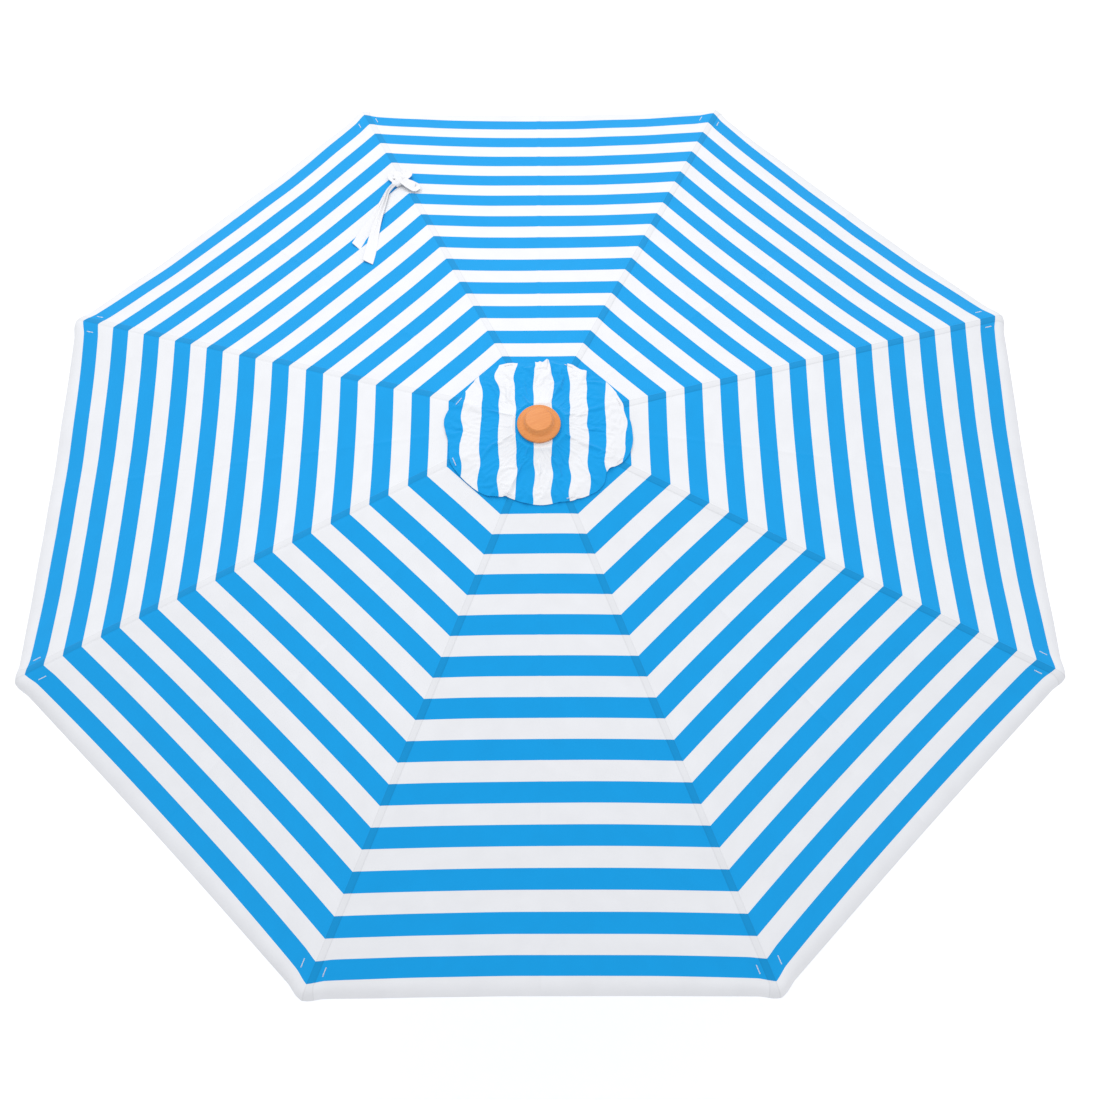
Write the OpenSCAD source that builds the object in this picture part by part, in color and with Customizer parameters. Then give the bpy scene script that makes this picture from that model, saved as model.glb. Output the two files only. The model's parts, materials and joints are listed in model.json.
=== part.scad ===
// Two-piece wooden beach umbrella with an octagonal striped canopy and a vent cap.
// Millimetres, +Z up along the pole. The origin is the centre of the pole's lower end.
// Rib 1 points 22.5 degrees from +X towards +Y, and the others follow every 45 degrees.

/* [Canopy] */
// Height of the point where the canopy's seams would meet
apex_z = 2190; // [2100:5:2300]
// Fall of the canopy's seams below horizontal, in degrees
canopy_slope = 13.06; // [12.5:0.02:13.5]
// Distance from the apex to a rib tip, along the seam
seam_tip = 1114; // [1100:1:1130]
// Cloth that hangs past a rib tip
hem_drop = 29; // [20:1:35]
// Cloth that runs past the rib tips' line at the middle of a panel
hem_past = 34; // [25:1:40]
// Distance from the apex to the vent hole, along the seam
seam_vent = 155; // [140:1:170]
// How far the rim's middle is pulled in towards the pole
rim_pull = 15; // [5:1:25]
// How far the rim's middle sags below the flat panel
rim_sag = 11; // [3:1:20]
// Thickness of the cloth's solids
cloth_t = 1.6; // [1.2:0.1:2.5]

// Distance from the apex to the tie's knot, along the seam
tie_at = 830; // [700:5:900]
// Width of the tie
tie_w = 25; // [20:1:30]

/* [Vent cap] */
// Radius of the cap over the vent hole
cap_r = 185; // [165:1:195]
// Height of the cap above the canopy at the cap's edge
cap_lift = 7; // [5:0.5:12]
// Radius of the small patch under the finial
patch_r = 44; // [42:1:48]

/* [Pole] */
// Diameter of the pole
pole_d = 38; // [36:1:38]
// Height of the lower pole's upper end
lower_pole_top = 930; // [850:5:940]
// Length of the upper pole inside the ferrule
pole_insert = 80; // [60:1:85]
// Thickness of the ferrule's wall
ferrule_t = 1.5; // [1:0.1:2]
// Height of the sand tip
tip_h = 60; // [40:1:80]
// Radius of the sand tip's blunt point
tip_r = 7; // [5:0.5:10]

/* [Frame] */
// Radius of the circle of hinge pins in the hub and in the runner
pin_circle_r = 32; // [31:0.5:34]
// Radius of the hinge pins
pin_r = 2; // [1.75:0.05:2]
// Depth of the hub's pins below the apex
pin_drop = 30; // [28:0.5:34]
// Outer radius of the hub and of the runner's head
hub_r = 40; // [39:0.5:41]
// Length of a rib from its pin to its tip
rib_l = 1072; // [1060:1:1075]
// Width of a rib
rib_w = 14; // [12:0.5:14]
// Fall of an open rib below horizontal, in degrees
rib_open = 12.3; // [12:0.1:13]
// Distance from a rib's pin to its bracket, along the rib
bracket_at = 520; // [480:5:540]
// Depth of the bracket's pin below the rib's centre line
bracket_drop = 16; // [15:0.5:18]
// Radius of the bracket's pin
rivet_r = 2.5; // [2:0.1:2.5]
// Depth of a stretcher
stretcher_d = 12; // [10:0.5:12]

/* [Runner] */
// Radius of the runner's neck
neck_r = 27; // [26:0.5:28]
// Length of the runner below its pins
runner_l = 75; // [70:1:90]
// Depth of the thumbscrew below the runner's pins
screw_drop = 50; // [45:1:55]

/* [Finial] */
// Radius of the finial's flange
flange_r = 41.5; // [38:0.5:42]
// Radius of the finial's boss
boss_r = 25.7; // [22:0.1:28]
// Height of the boss above the apex
boss_top = 9.2; // [7:0.1:12]
// Radius of the finial's stud
stud_r = 4; // [3:0.1:4]

/* [Hidden] */
$fn = 96;
ribs = 8;
step = 360 / ribs;
first = step / 2;
pole_r = pole_d / 2;
slip = 0.05;                      // radial clearance of every running pin
fit = 0.2;                        // radial gap between the pole and its sleeves
notch_w = rib_w + 0.8;            // slot that a rib or stretcher turns in
eye_r = 7;                        // round end of a rib
small_eye_r = stretcher_d / 2;
stretcher_w = rib_w - 0.8;
plate_t = 1.5;                    // thickness of the bracket's side plates
hub_z = apex_z - pin_drop;
roof_z = apex_z - 16;             // top face of the hub
bracket_l = sqrt(pow(bracket_at, 2) + pow(bracket_drop, 2));
bracket_a = atan(bracket_drop / bracket_at);
runner_z = hub_z - 2 * bracket_l * sin(rib_open + bracket_a);
finial_z = roof_z + 4.4;         // underside of the finial
stud_z = hub_z - 6;               // lower end of the finial's stud
ferrule_z = [lower_pole_top - 90, lower_pole_top + pole_insert];
tenon_cut = 0.5;                  // the lower pole is turned down by this inside the ferrule
shoulder_gap = 2;                 // from the lower pole's shoulder to the ferrule
tie_rib = 3;

// ---- Places and shared shapes ----

// Turns a shape drawn along +X so that it points along rib k.
module at_rib(k) rotate([0, 0, first + (k - 1) * step]) children();

// Puts a shape drawn in the rib's own line, +X outwards, onto open rib k.
module on_rib(k) at_rib(k) translate([pin_circle_r, 0, hub_z]) rotate([0, rib_open, 0]) children();

// A round bar of length l along Y, centred on the XZ origin.
module cross_bar(r, l) rotate([90, 0, 0]) cylinder(r = r, h = l, center = true);

// A tube from z0 to z1.
module tube(z0, z1, outer, inner) {
    translate([0, 0, z0]) difference() {
        cylinder(r = outer, h = z1 - z0);
        translate([0, 0, -1]) cylinder(r = inner, h = z1 - z0 + 2);
    }
}

// The eight hinge pins of a notched ring, at height z.
module pin_ring(z) {
    for (k = [1 : ribs])
        at_rib(k) translate([pin_circle_r, 0, z]) cross_bar(pin_r, notch_w + 8);
}

// The eight notches of a ring, from z0 to z1, open on their outer side.
module notches(z0, z1) {
    for (k = [1 : ribs])
        at_rib(k) translate([pin_circle_r - eye_r - 1, -notch_w / 2, z0])
            cube([hub_r, notch_w, z1 - z0]);
}

// ---- Pole ----

module lower_pole() {
    color("burlywood") difference() {
        union() {
            translate([0, 0, tip_h]) cylinder(r = pole_r, h = ferrule_z[0] - shoulder_gap - tip_h);
            translate([0, 0, tip_h]) cylinder(r = pole_r - tenon_cut, h = lower_pole_top - tip_h);
        }
        translate([0, 0, tip_h - 1]) cylinder(r = 10, h = 31);
        ferrule_screw_places() cylinder(r = 1.75, h = 16);
    }
}

// Turned tip with a spigot in the lower pole's end.
module sand_tip() {
    color("dimgray") rotate_extrude() polygon([
        [0, 0], [tip_r - 2, 0], [tip_r, 2], [pole_r - 1, tip_h - 6], [pole_r, tip_h - 3],
        [pole_r, tip_h], [10, tip_h], [10, tip_h + 30], [0, tip_h + 30]
    ]);
}

// Metal sleeve that is screwed to the lower pole and takes the upper one.
module ferrule() {
    inner = pole_r + slip;
    outer = inner + ferrule_t;
    color("silver") difference() {
        translate([0, 0, ferrule_z[0]]) rotate_extrude() polygon([
            [inner - tenon_cut, 0], [outer, 0], [outer, ferrule_z[1] - ferrule_z[0] - 4],
            [outer + 1.5, ferrule_z[1] - ferrule_z[0] - 2.5],
            [outer + 1.5, ferrule_z[1] - ferrule_z[0] - 1],
            [outer + 0.5, ferrule_z[1] - ferrule_z[0]], [inner, ferrule_z[1] - ferrule_z[0]],
            [inner, lower_pole_top - ferrule_z[0]], [inner - tenon_cut, lower_pole_top - ferrule_z[0]]
        ]);
        ferrule_screw_places() cylinder(r = 1.75, h = 30);
    }
}

module ferrule_screw_places() {
    for (turn = [0, 180])
        translate([0, 0, ferrule_z[0] + 25]) rotate([0, 90, turn]) translate([0, 0, 6]) children();
}

module ferrule_screws() {
    color("gray") ferrule_screw_places() {
        cylinder(r = 1.75, h = 16);
        translate([0, 0, pole_r + slip + ferrule_t - 6]) difference() {
            cylinder(r1 = 4, r2 = 3, h = 1.8);
            translate([-5, -0.5, 0.9]) cube([10, 1, 2]);
        }
    }
}

module upper_pole() {
    color("burlywood") difference() {
        translate([0, 0, lower_pole_top]) cylinder(r = pole_r, h = hub_z + 4 - lower_pole_top);
        translate([0, 0, stud_z - 2]) cylinder(r = stud_r + slip, h = 60);
        dowel_bar(2 * hub_r);
    }
}

// ---- Top hub ----

// The bar that the hub's dowel fills, along X.
module dowel_bar(l) translate([0, 0, stud_z - 8]) rotate([0, 90, 0]) cylinder(r = 3, h = l, center = true);

// Turned head that closes the pole. Its eight notches hold the ribs' eyes.
module hub() {
    foot = hub_z - 22;
    color("peru") difference() {
        translate([0, 0, foot]) rotate_extrude() polygon([
            [0, 0], [hub_r - 6, 0], [hub_r - 1, 3], [hub_r, 6], [hub_r, roof_z - foot - 3],
            [hub_r - 3, roof_z - foot], [0, roof_z - foot]
        ]);
        translate([0, 0, foot - 1]) cylinder(r = pole_r, h = hub_z + 4 - foot + 1);
        translate([0, 0, hub_z]) cylinder(r = stud_r + slip, h = 40);
        notches(foot - 1, hub_z + eye_r + 1);
        pin_ring(hub_z);
        dowel_bar(2 * hub_r + 2);
    }
}

module hub_dowel() {
    color("tan") dowel_bar(2 * hub_r - 1);
}

module hub_pins() {
    color("silver") pin_ring(hub_z);
}

// Brass washer that the finial presses the cap's patch onto.
module cap_washer() {
    color("goldenrod") tube(roof_z, roof_z + 3, 24, stud_r + slip);
}

// Round patch of cloth at the middle of the vent cap.
module vent_cap_patch() {
    color("white") tube(roof_z + 3, roof_z + 4.2, patch_r, stud_r + slip);
}

// ---- Finial ----

module finial() {
    base = finial_z - apex_z;
    color("chocolate") translate([0, 0, apex_z]) difference() {
        rotate_extrude() polygon([
            [0, base], [flange_r - 2, base], [flange_r, base + 2], [flange_r, base + 6],
            [flange_r - 2, base + 8], [boss_r + 3, base + 13], [boss_r, boss_top - 1.2],
            [boss_r - 1.5, boss_top], [0, boss_top + 0.8]
        ]);
        translate([0, 0, base - 1]) cylinder(r = stud_r, h = 13);
    }
}

module finial_stud() {
    color("silver") translate([0, 0, stud_z]) cylinder(r = stud_r, h = finial_z + 12 - stud_z);
}

// ---- Ribs and stretchers ----

// Side view of a rib: a round eye, a deep middle and a slender tip.
module rib_outline() {
    union() {
        circle(r = eye_r);
        polygon([
            [0, -eye_r], [rib_l - 60, -eye_r + 1], [rib_l, -5], [rib_l, 4], [rib_l - 80, 6.5],
            [700, 9], [300, 12], [70, 11], [24, eye_r], [0, eye_r]
        ]);
    }
}

module rib(k) {
    color("burlywood") on_rib(k) difference() {
        rotate([90, 0, 0]) linear_extrude(rib_w, center = true) rib_outline();
        cross_bar(pin_r + slip, rib_w + 2);
        for (x = [-12, 12]) translate([bracket_at + x, 0, 0]) cross_bar(1.8, rib_w + 2);
    }
}

// Bracket with its three rivets, and the cap on the rib's tip.
module rib_hardware(k) {
    color("silver") on_rib(k) {
        difference() {
            for (side = [-1, 1])
                translate([bracket_at, side * (rib_w + plate_t) / 2, 0])
                    rotate([90, 0, 0]) linear_extrude(plate_t, center = true) bracket_outline();
            translate([bracket_at, 0, 0]) bracket_bores();
        }
        translate([bracket_at, 0, 0]) bracket_rivets();
        translate([rib_l, 0, 0]) tip_cap();
    }
}

module bracket_outline() {
    hull() {
        for (x = [-12, 12]) translate([x, 0]) circle(r = 5);
        translate([0, -bracket_drop]) circle(r = 6);
    }
}

module bracket_bores() {
    for (x = [-12, 12]) translate([x, 0, 0]) cross_bar(1.8, rib_w + 10);
    translate([0, 0, -bracket_drop]) cross_bar(rivet_r, rib_w + 10);
}

module bracket_rivets() {
    for (x = [-12, 12]) translate([x, 0, 0]) rivet(1.8);
    translate([0, 0, -bracket_drop]) rivet(rivet_r);
}

// A rivet across the rib, with a flat round head outside each plate.
module rivet(r) {
    reach = rib_w + 2 * plate_t;
    cross_bar(r, reach);
    for (side = [-1, 1]) translate([0, side * (reach + 1.2) / 2, 0]) cross_bar(r + 1.6, 1.2);
}

// Open-ended cap pressed over the rib's tip.
module tip_cap() {
    color("silver") difference() {
        translate([-12, -rib_w / 2 - 0.6, -5.6]) cube([13, rib_w + 1.2, 10.2]);
        translate([-13, -rib_w / 2, -5.4]) cube([13, rib_w, 9.8]);
    }
}

module stretcher(k) {
    fall = -(rib_open + bracket_a);
    color("burlywood") at_rib(k) translate([pin_circle_r, 0, runner_z]) rotate([0, fall, 0])
        difference() {
            union() {
                translate([bracket_l / 2, 0, 0])
                    cube([bracket_l, stretcher_w, stretcher_d], center = true);
                for (x = [0, bracket_l]) translate([x, 0, 0]) cross_bar(small_eye_r, stretcher_w);
            }
            cross_bar(pin_r + slip, rib_w);
            translate([bracket_l, 0, 0]) cross_bar(rivet_r + slip, rib_w);
        }
}

// ---- Runner ----

// Turned collar that slides on the pole. Its notches hold the stretchers' lower eyes.
module runner() {
    color("peru") difference() {
        translate([0, 0, runner_z]) rotate_extrude() polygon([
            [22, -runner_l], [neck_r + 3, -runner_l], [neck_r + 4, 3 - runner_l],
            [neck_r + 4, 10 - runner_l], [neck_r, 16 - runner_l], [neck_r, -26],
            [hub_r - 3, -14], [hub_r, -12], [hub_r, 7], [hub_r - 2, 9], [22, 9]
        ]);
        notches(runner_z - small_eye_r - 1.5, runner_z + 20);
        pin_ring(runner_z);
        screw_place() cylinder(r = 6, h = 20);
    }
}

// Slippery sleeve that lines the runner.
module runner_bushing() {
    color("ivory") difference() {
        tube(runner_z - runner_l, runner_z + 9, 22, pole_r + 0.5);
        screw_place() cylinder(r = 3.4, h = 20, center = true);
    }
}

module runner_pins() {
    color("silver") pin_ring(runner_z);
}

// The thumbscrew's own line: +Z outwards, starting at the pole's face.
module screw_place() {
    translate([0, 0, runner_z - screw_drop]) rotate([90, 0, 0]) translate([0, 0, pole_r + 1]) children();
}

module screw_insert() {
    color("goldenrod") screw_place() translate([0, 0, 2]) difference() {
        cylinder(r = 6, h = neck_r - 21);
        translate([0, 0, -1]) cylinder(r = 3 + slip, h = 20);
    }
}

module thumbscrew() {
    color("goldenrod") screw_place() {
        cylinder(r = 3, h = 16);
        translate([0, 0, 9]) cylinder(r = 5, h = 3);
        translate([0, 0, 12]) difference() {
            cylinder(r = 11, h = 9);
            for (a = [0 : 30 : 330]) rotate([0, 0, a]) translate([12.2, 0, -1]) cylinder(r = 2.2, h = 11);
        }
    }
}

// ---- Cloth ----

// A gore's cloth reaches from the middle of one panel, over its rib, to the middle of the next.
// turn is the angle from the rib, and along is the distance from the apex along the seam.
function bulge(turn) = 1 - pow(abs(step / 2 - abs(turn)) / (step / 2), 2);
function cloth_radius(along, turn) =
    along * cos(canopy_slope) * cos(step / 2) / cos(step / 2 - abs(turn))
    - rim_pull * pow(along / seam_tip, 1.6) * bulge(turn);
function cloth_z(along, turn) =
    apex_z - along * sin(canopy_slope) - rim_sag * pow(along / seam_tip, 2.5) * bulge(turn);
function cloth_point(along, turn, lift) = [
    cloth_radius(along, turn) * cos(turn), cloth_radius(along, turn) * sin(turn),
    cloth_z(along, turn) + lift
];

// The hem turns down over a rib's tip and runs on almost straight between the tips.
function hem_point(turn, lift) =
    let (share = bulge(turn),
         out = 7 + (hem_past - 12) * share,
         down = hem_drop - (hem_drop - 14) * share)
    cloth_point(seam_tip, turn, lift) + [out * cos(turn), out * sin(turn), -down];

// A closed sheet through a grid of points: rows from the inside out, top first, then bottom.
module sheet(top, bottom) {
    rows = len(top);
    cols = len(top[0]);
    size = rows * cols;
    points = [for (layer = [top, bottom]) for (row = layer) for (p = row) p];
    edge = concat(
        [for (c = [0 : cols - 1]) c],
        [for (r = [1 : rows - 1]) r * cols + cols - 1],
        [for (c = [cols - 2 : -1 : 0]) (rows - 1) * cols + c],
        [for (r = [rows - 2 : -1 : 1]) r * cols]
    );
    upper = [for (r = [0 : rows - 2]) for (c = [0 : cols - 2])
        let (a = r * cols + c, b = a + 1, d = a + cols, e = d + 1)
        each [[a, b, e], [a, e, d]]];
    lower = [for (t = upper) [t[2] + size, t[1] + size, t[0] + size]];
    sides = [for (i = [0 : len(edge) - 1])
        let (a = edge[i], b = edge[(i + 1) % len(edge)])
        each [[b, a, a + size], [b, a + size, b + size]]];
    polyhedron(points, concat(upper, lower, sides));
}

gore_turns = [for (i = [-4 : 4]) i * step / 8];
gore_alongs = [for (i = [0 : 6]) seam_vent + (seam_tip - seam_vent) * i / 6];

function gore_grid(lift) = concat(
    [for (along = gore_alongs) [for (turn = gore_turns) cloth_point(along, turn, lift)]],
    [[for (turn = gore_turns) hem_point(turn, lift)]]
);

module canopy_gore(k) {
    blue = k % 2 == 0;
    color(blue ? "deepskyblue" : "dodgerblue") at_rib(k) sheet(gore_grid(cloth_t), gore_grid(0));
}

// The cap lies flat over the hub and falls away parallel to the canopy.
cap_in = 26;
cap_radii = [cap_in, 38, 48, 70, 100, 140, cap_r];
cap_turns = [for (i = [-4 : 4]) i * (step / 8 - 0.01)]; // leaves a hair's gap between sectors
function cap_fall(r) = r < 38 ? 0 : (r - 38) * (r - 38) / (r - 38 + 60);
function cap_edge_fall() = cap_r * tan(canopy_slope) - cap_lift - (apex_z - roof_z - 1);
function cap_z(r) = roof_z + 0.6 - cap_edge_fall() * cap_fall(r) / cap_fall(cap_r);
function cap_grid(lift) =
    [for (r = cap_radii) [for (turn = cap_turns) [r * cos(turn), r * sin(turn), cap_z(r) + lift]]];

module vent_cap(k) {
    color(k % 2 == 0 ? "white" : "deepskyblue") at_rib(k) sheet(cap_grid(1.2), cap_grid(0));
}

// Height of the cloth under a point given in a rib's own plan.
function cloth_under(x, y) =
    let (turn = atan2(y, x),
         along = norm([x, y]) * cos(step / 2 - abs(turn)) / cos(canopy_slope) / cos(step / 2))
    cloth_z(along, turn);

// Corner points of a strap that lies on the cloth, from one plan point towards another.
function strap_grid(from, heading, l, lift) =
    [for (i = [0 : 8]) [for (side = [-1, 1])
        let (x = from[0] + l * i / 8 * cos(heading) - side * tie_w / 2 * sin(heading),
             y = from[1] + l * i / 8 * sin(heading) + side * tie_w / 2 * cos(heading))
        [x, y, cloth_under(x, y) + lift]]];

// Flat strap, knotted over a rib, with two tails lying on the cloth of one side.
module tie_strap() {
    knot = [tie_at * cos(canopy_slope), 0];
    under = cloth_t + 0.5;
    color("white") at_rib(tie_rib) {
        translate([0, 0, apex_z]) rotate([0, canopy_slope, 0]) translate([tie_at, 0, under])
            translate([-tie_w / 2, -15, 0]) cube([tie_w, 30, 7]);
        for (tail = [[136.5, 232, 0], [144, 270, 2.2]])
            let (start = knot + 16 * [cos(tail[0]), sin(tail[0])])
            sheet(strap_grid(start, tail[0], tail[1] - 16, under + tail[2] + 2),
                  strap_grid(start, tail[0], tail[1] - 16, under + tail[2]));
    }
}

// ---- Assembly ----

lower_pole();
sand_tip();
ferrule();
ferrule_screws();
upper_pole();
hub();
hub_dowel();
hub_pins();
cap_washer();
vent_cap_patch();
finial();
finial_stud();
runner();
runner_bushing();
runner_pins();
screw_insert();
thumbscrew();
for (k = [1 : ribs]) rib(k);
for (k = [1 : ribs]) rib_hardware(k);
for (k = [1 : ribs]) stretcher(k);
for (k = [1 : ribs]) canopy_gore(k);
for (k = [1 : ribs]) vent_cap(k);
tie_strap();
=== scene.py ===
"""Dresses an octagonal wooden beach umbrella with cloth, turned wood and metal fittings.

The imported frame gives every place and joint. Lengths are in metres, +Z runs up the pole, and rib 1
points 22.5 degrees from +X towards +Y.
"""

from __future__ import annotations

import json
import logging
import math
from dataclasses import dataclass, field
from enum import Enum
from typing import Callable, Sequence

import bpy
import numpy as np
from mathutils import Matrix, Vector, noise

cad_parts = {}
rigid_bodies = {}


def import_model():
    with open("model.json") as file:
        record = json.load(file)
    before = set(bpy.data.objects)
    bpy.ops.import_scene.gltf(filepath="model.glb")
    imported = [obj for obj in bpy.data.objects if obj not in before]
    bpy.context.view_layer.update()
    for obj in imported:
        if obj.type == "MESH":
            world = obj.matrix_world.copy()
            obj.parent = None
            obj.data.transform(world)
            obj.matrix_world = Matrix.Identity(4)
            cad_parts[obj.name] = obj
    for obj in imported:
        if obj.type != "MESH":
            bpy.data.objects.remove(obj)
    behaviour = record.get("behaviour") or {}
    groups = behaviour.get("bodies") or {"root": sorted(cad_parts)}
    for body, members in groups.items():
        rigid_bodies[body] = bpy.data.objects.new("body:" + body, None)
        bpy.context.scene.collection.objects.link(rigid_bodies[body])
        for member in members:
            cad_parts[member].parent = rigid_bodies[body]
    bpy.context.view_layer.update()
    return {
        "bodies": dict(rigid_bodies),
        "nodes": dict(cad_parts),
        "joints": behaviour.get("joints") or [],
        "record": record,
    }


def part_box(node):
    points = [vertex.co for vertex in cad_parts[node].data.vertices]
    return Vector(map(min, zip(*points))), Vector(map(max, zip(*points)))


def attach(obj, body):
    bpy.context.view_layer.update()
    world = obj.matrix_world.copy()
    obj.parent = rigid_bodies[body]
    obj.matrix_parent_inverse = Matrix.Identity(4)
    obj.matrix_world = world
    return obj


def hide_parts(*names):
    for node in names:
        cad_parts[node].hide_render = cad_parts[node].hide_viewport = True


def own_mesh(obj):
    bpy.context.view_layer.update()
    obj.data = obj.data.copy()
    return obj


LOG = logging.getLogger("beach_umbrella")
MM = 0.001
RIBS = 8
STEP = math.tau / RIBS
HALF_STEP = STEP / 2


# ---- Small tools ---------------------------------------------------------------------------------


def linear(colour: str) -> tuple[float, float, float, float]:
    """Turns an sRGB hex colour into the linear values that a shader reads.

    Args:
        colour: Six hex digits, such as "e8964f".

    Returns:
        Linear red, green, blue and an alpha of 1.
    """
    parts = [int(colour[i : i + 2], 16) / 255 for i in (0, 2, 4)]
    red, green, blue = (c / 12.92 if c <= 0.04045 else ((c + 0.055) / 1.055) ** 2.4 for c in parts)
    return red, green, blue, 1.0


def smooth(value: float, low: float = 0.0, high: float = 1.0) -> float:
    """Runs from 0 at low to 1 at high with level ends."""
    t = min(1.0, max(0.0, (value - low) / (high - low)))
    return t * t * (3 - 2 * t)


def azimuth(rib: int) -> float:
    """The direction of a rib, in radians from +X."""
    return HALF_STEP + (rib - 1) * STEP


def add_node(
    tree: bpy.types.NodeTree, kind: str, inputs: dict | None = None, **settings: object
) -> bpy.types.Node:
    """Adds a shader node with its settings and its inputs.

    Args:
        tree: The node tree that gets the node.
        kind: The node's type name.
        inputs: Socket name or number to a value, or to the socket that feeds it.
        settings: The node's own properties.

    Returns:
        The new node.
    """
    node = tree.nodes.new(kind)
    for name, value in settings.items():
        setattr(node, name, value)
    for name, value in (inputs or {}).items():
        if isinstance(value, bpy.types.NodeSocket):
            tree.links.new(value, node.inputs[name])
        else:
            node.inputs[name].default_value = value
    return node


def blank_material(
    name: str, constants: dict[str, object]
) -> tuple[bpy.types.Material, bpy.types.NodeTree, bpy.types.Node]:
    """Makes a material with only its shader.

    Args:
        name: The material's name.
        constants: What is the same all over the surface: the shader's socket name to its value.

    Returns:
        The material, its node tree and its shader.
    """
    made = bpy.data.materials.new(name)
    made.use_nodes = True
    shader = made.node_tree.nodes["Principled BSDF"]
    for socket, value in constants.items():
        shader.inputs[socket].default_value = value
    return made, made.node_tree, shader


def only_select(obj: bpy.types.Object) -> None:
    """Makes one object the only selected one, and the active one.

    Args:
        obj: The object.
    """
    for other in bpy.context.selected_objects:
        other.select_set(False)
    obj.select_set(True)
    bpy.context.view_layer.objects.active = obj


def clear_selection() -> None:
    """Leaves nothing selected and nothing active."""
    for other in bpy.context.selected_objects:
        other.select_set(False)
    bpy.context.view_layer.objects.active = None


def settle(obj: bpy.types.Object, name: str) -> bpy.types.Object:
    """Names an object and moves its place into its mesh.

    Args:
        obj: The object.
        name: Its new name.

    Returns:
        The same object, at the origin, unturned and unscaled.
    """
    obj.name = name
    obj.data.name = name
    only_select(obj)
    bpy.ops.object.transform_apply(location=True, rotation=True, scale=True)
    return obj


def face_outwards(obj: bpy.types.Object) -> None:
    """Merges doubled corners and turns every face outwards.

    Args:
        obj: A closed mesh.
    """
    only_select(obj)
    bpy.ops.object.mode_set(mode="EDIT")
    bpy.ops.mesh.select_all(action="SELECT")
    bpy.ops.mesh.remove_doubles(threshold=0.01 * MM)
    bpy.ops.mesh.normals_make_consistent(inside=False)
    bpy.ops.object.mode_set(mode="OBJECT")


def round_edges(obj: bpy.types.Object, width: float) -> None:
    """Bevels every sharp edge and shades the rest smooth.

    Args:
        obj: The mesh.
        width: The bevel's width.
    """
    only_select(obj)
    bevel = obj.modifiers.new("edges", "BEVEL")
    bevel.width, bevel.segments = width, 2
    bevel.limit_method, bevel.angle_limit = "ANGLE", math.radians(35)
    bevel.use_clamp_overlap = True
    bpy.ops.object.modifier_apply(modifier=bevel.name)
    bpy.ops.object.shade_smooth_by_angle(angle=math.radians(40))


def join(objects: Sequence[bpy.types.Object], name: str) -> bpy.types.Object:
    """Joins several objects into the first one and names it.

    Args:
        objects: The objects, of which the first one stays.
        name: The whole piece's name.

    Returns:
        The joined piece.
    """
    only_select(objects[0])
    for obj in objects:
        obj.select_set(True)
    bpy.ops.object.join()
    return settle(bpy.context.object, name)


def dress(obj: bpy.types.Object, material: bpy.types.Material, body: str, slot: str, *nodes: str) -> None:
    """Gives a finished piece its material and its body, and hides the CAD nodes that it replaces.

    Args:
        obj: The piece.
        material: Its material.
        body: The body that it rides on.
        slot: Not used.
        nodes: The CAD nodes that it replaces.
    """
    obj.data.materials.clear()
    obj.data.materials.append(material)
    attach(obj, body)
    if nodes:
        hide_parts(*nodes)


def paint(frame: dict, finish: bpy.types.Material, *nodes: str) -> None:
    """Gives CAD nodes that stay as they are their material.

    Args:
        finish: The material.
        nodes: The nodes' names.
    """
    for node in nodes:
        materials = frame["nodes"][node].data.materials
        materials.clear()
        materials.append(finish)


def gather(pieces: Sequence[bpy.types.Object]) -> None:
    """Gives cloth, and what is sewn to it, a mesh of its own.

    Args:
        pieces: The cloth and what is sewn to it.
    """
    for piece in pieces:
        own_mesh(piece)


def turned(name: str, profile: Sequence[tuple[float, float]], sides: int = 64) -> bpy.types.Object:
    """Turns a closed solid about the pole's axis, as on a lathe.

    Args:
        name: The piece's name.
        profile: (radius, height) pairs from the lower end to the upper end.
        sides: The number of flats round the piece.

    Returns:
        The solid, with flat discs as its two ends.
    """
    clear_selection()
    radius, height = profile[0]
    bpy.ops.mesh.primitive_circle_add(
        vertices=sides, radius=radius, fill_type="NGON", location=(0, 0, height)
    )
    obj = settle(bpy.context.object, name)
    bpy.ops.object.mode_set(mode="EDIT")
    bpy.ops.mesh.select_all(action="SELECT")
    for (r0, z0), (r1, z1) in zip(profile, profile[1:]):
        move = {"value": (0, 0, z1 - z0)}
        bpy.ops.mesh.extrude_region_move(TRANSFORM_OT_translate=move)
        share = r1 / r0
        bpy.ops.transform.resize(value=(share, share, 1), center_override=(0, 0, z1))
    bpy.ops.object.mode_set(mode="OBJECT")
    close_bottom(obj)
    face_outwards(obj)
    return obj


def close_bottom(obj: bpy.types.Object) -> None:
    """Fills the open lower end that extruding a disc leaves, if it is open.

    Args:
        obj: The turned shape.
    """
    only_select(obj)
    bpy.ops.object.mode_set(mode="EDIT")
    bpy.ops.mesh.select_all(action="DESELECT")
    bpy.ops.mesh.select_mode(type="EDGE")
    bpy.ops.mesh.select_non_manifold(extend=False)
    bpy.ops.object.mode_set(mode="OBJECT")
    open_edges = [e for e in obj.data.edges if e.select]
    bpy.ops.object.mode_set(mode="EDIT")
    if open_edges:
        bpy.ops.mesh.edge_face_add()
    bpy.ops.object.mode_set(mode="OBJECT")


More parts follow.
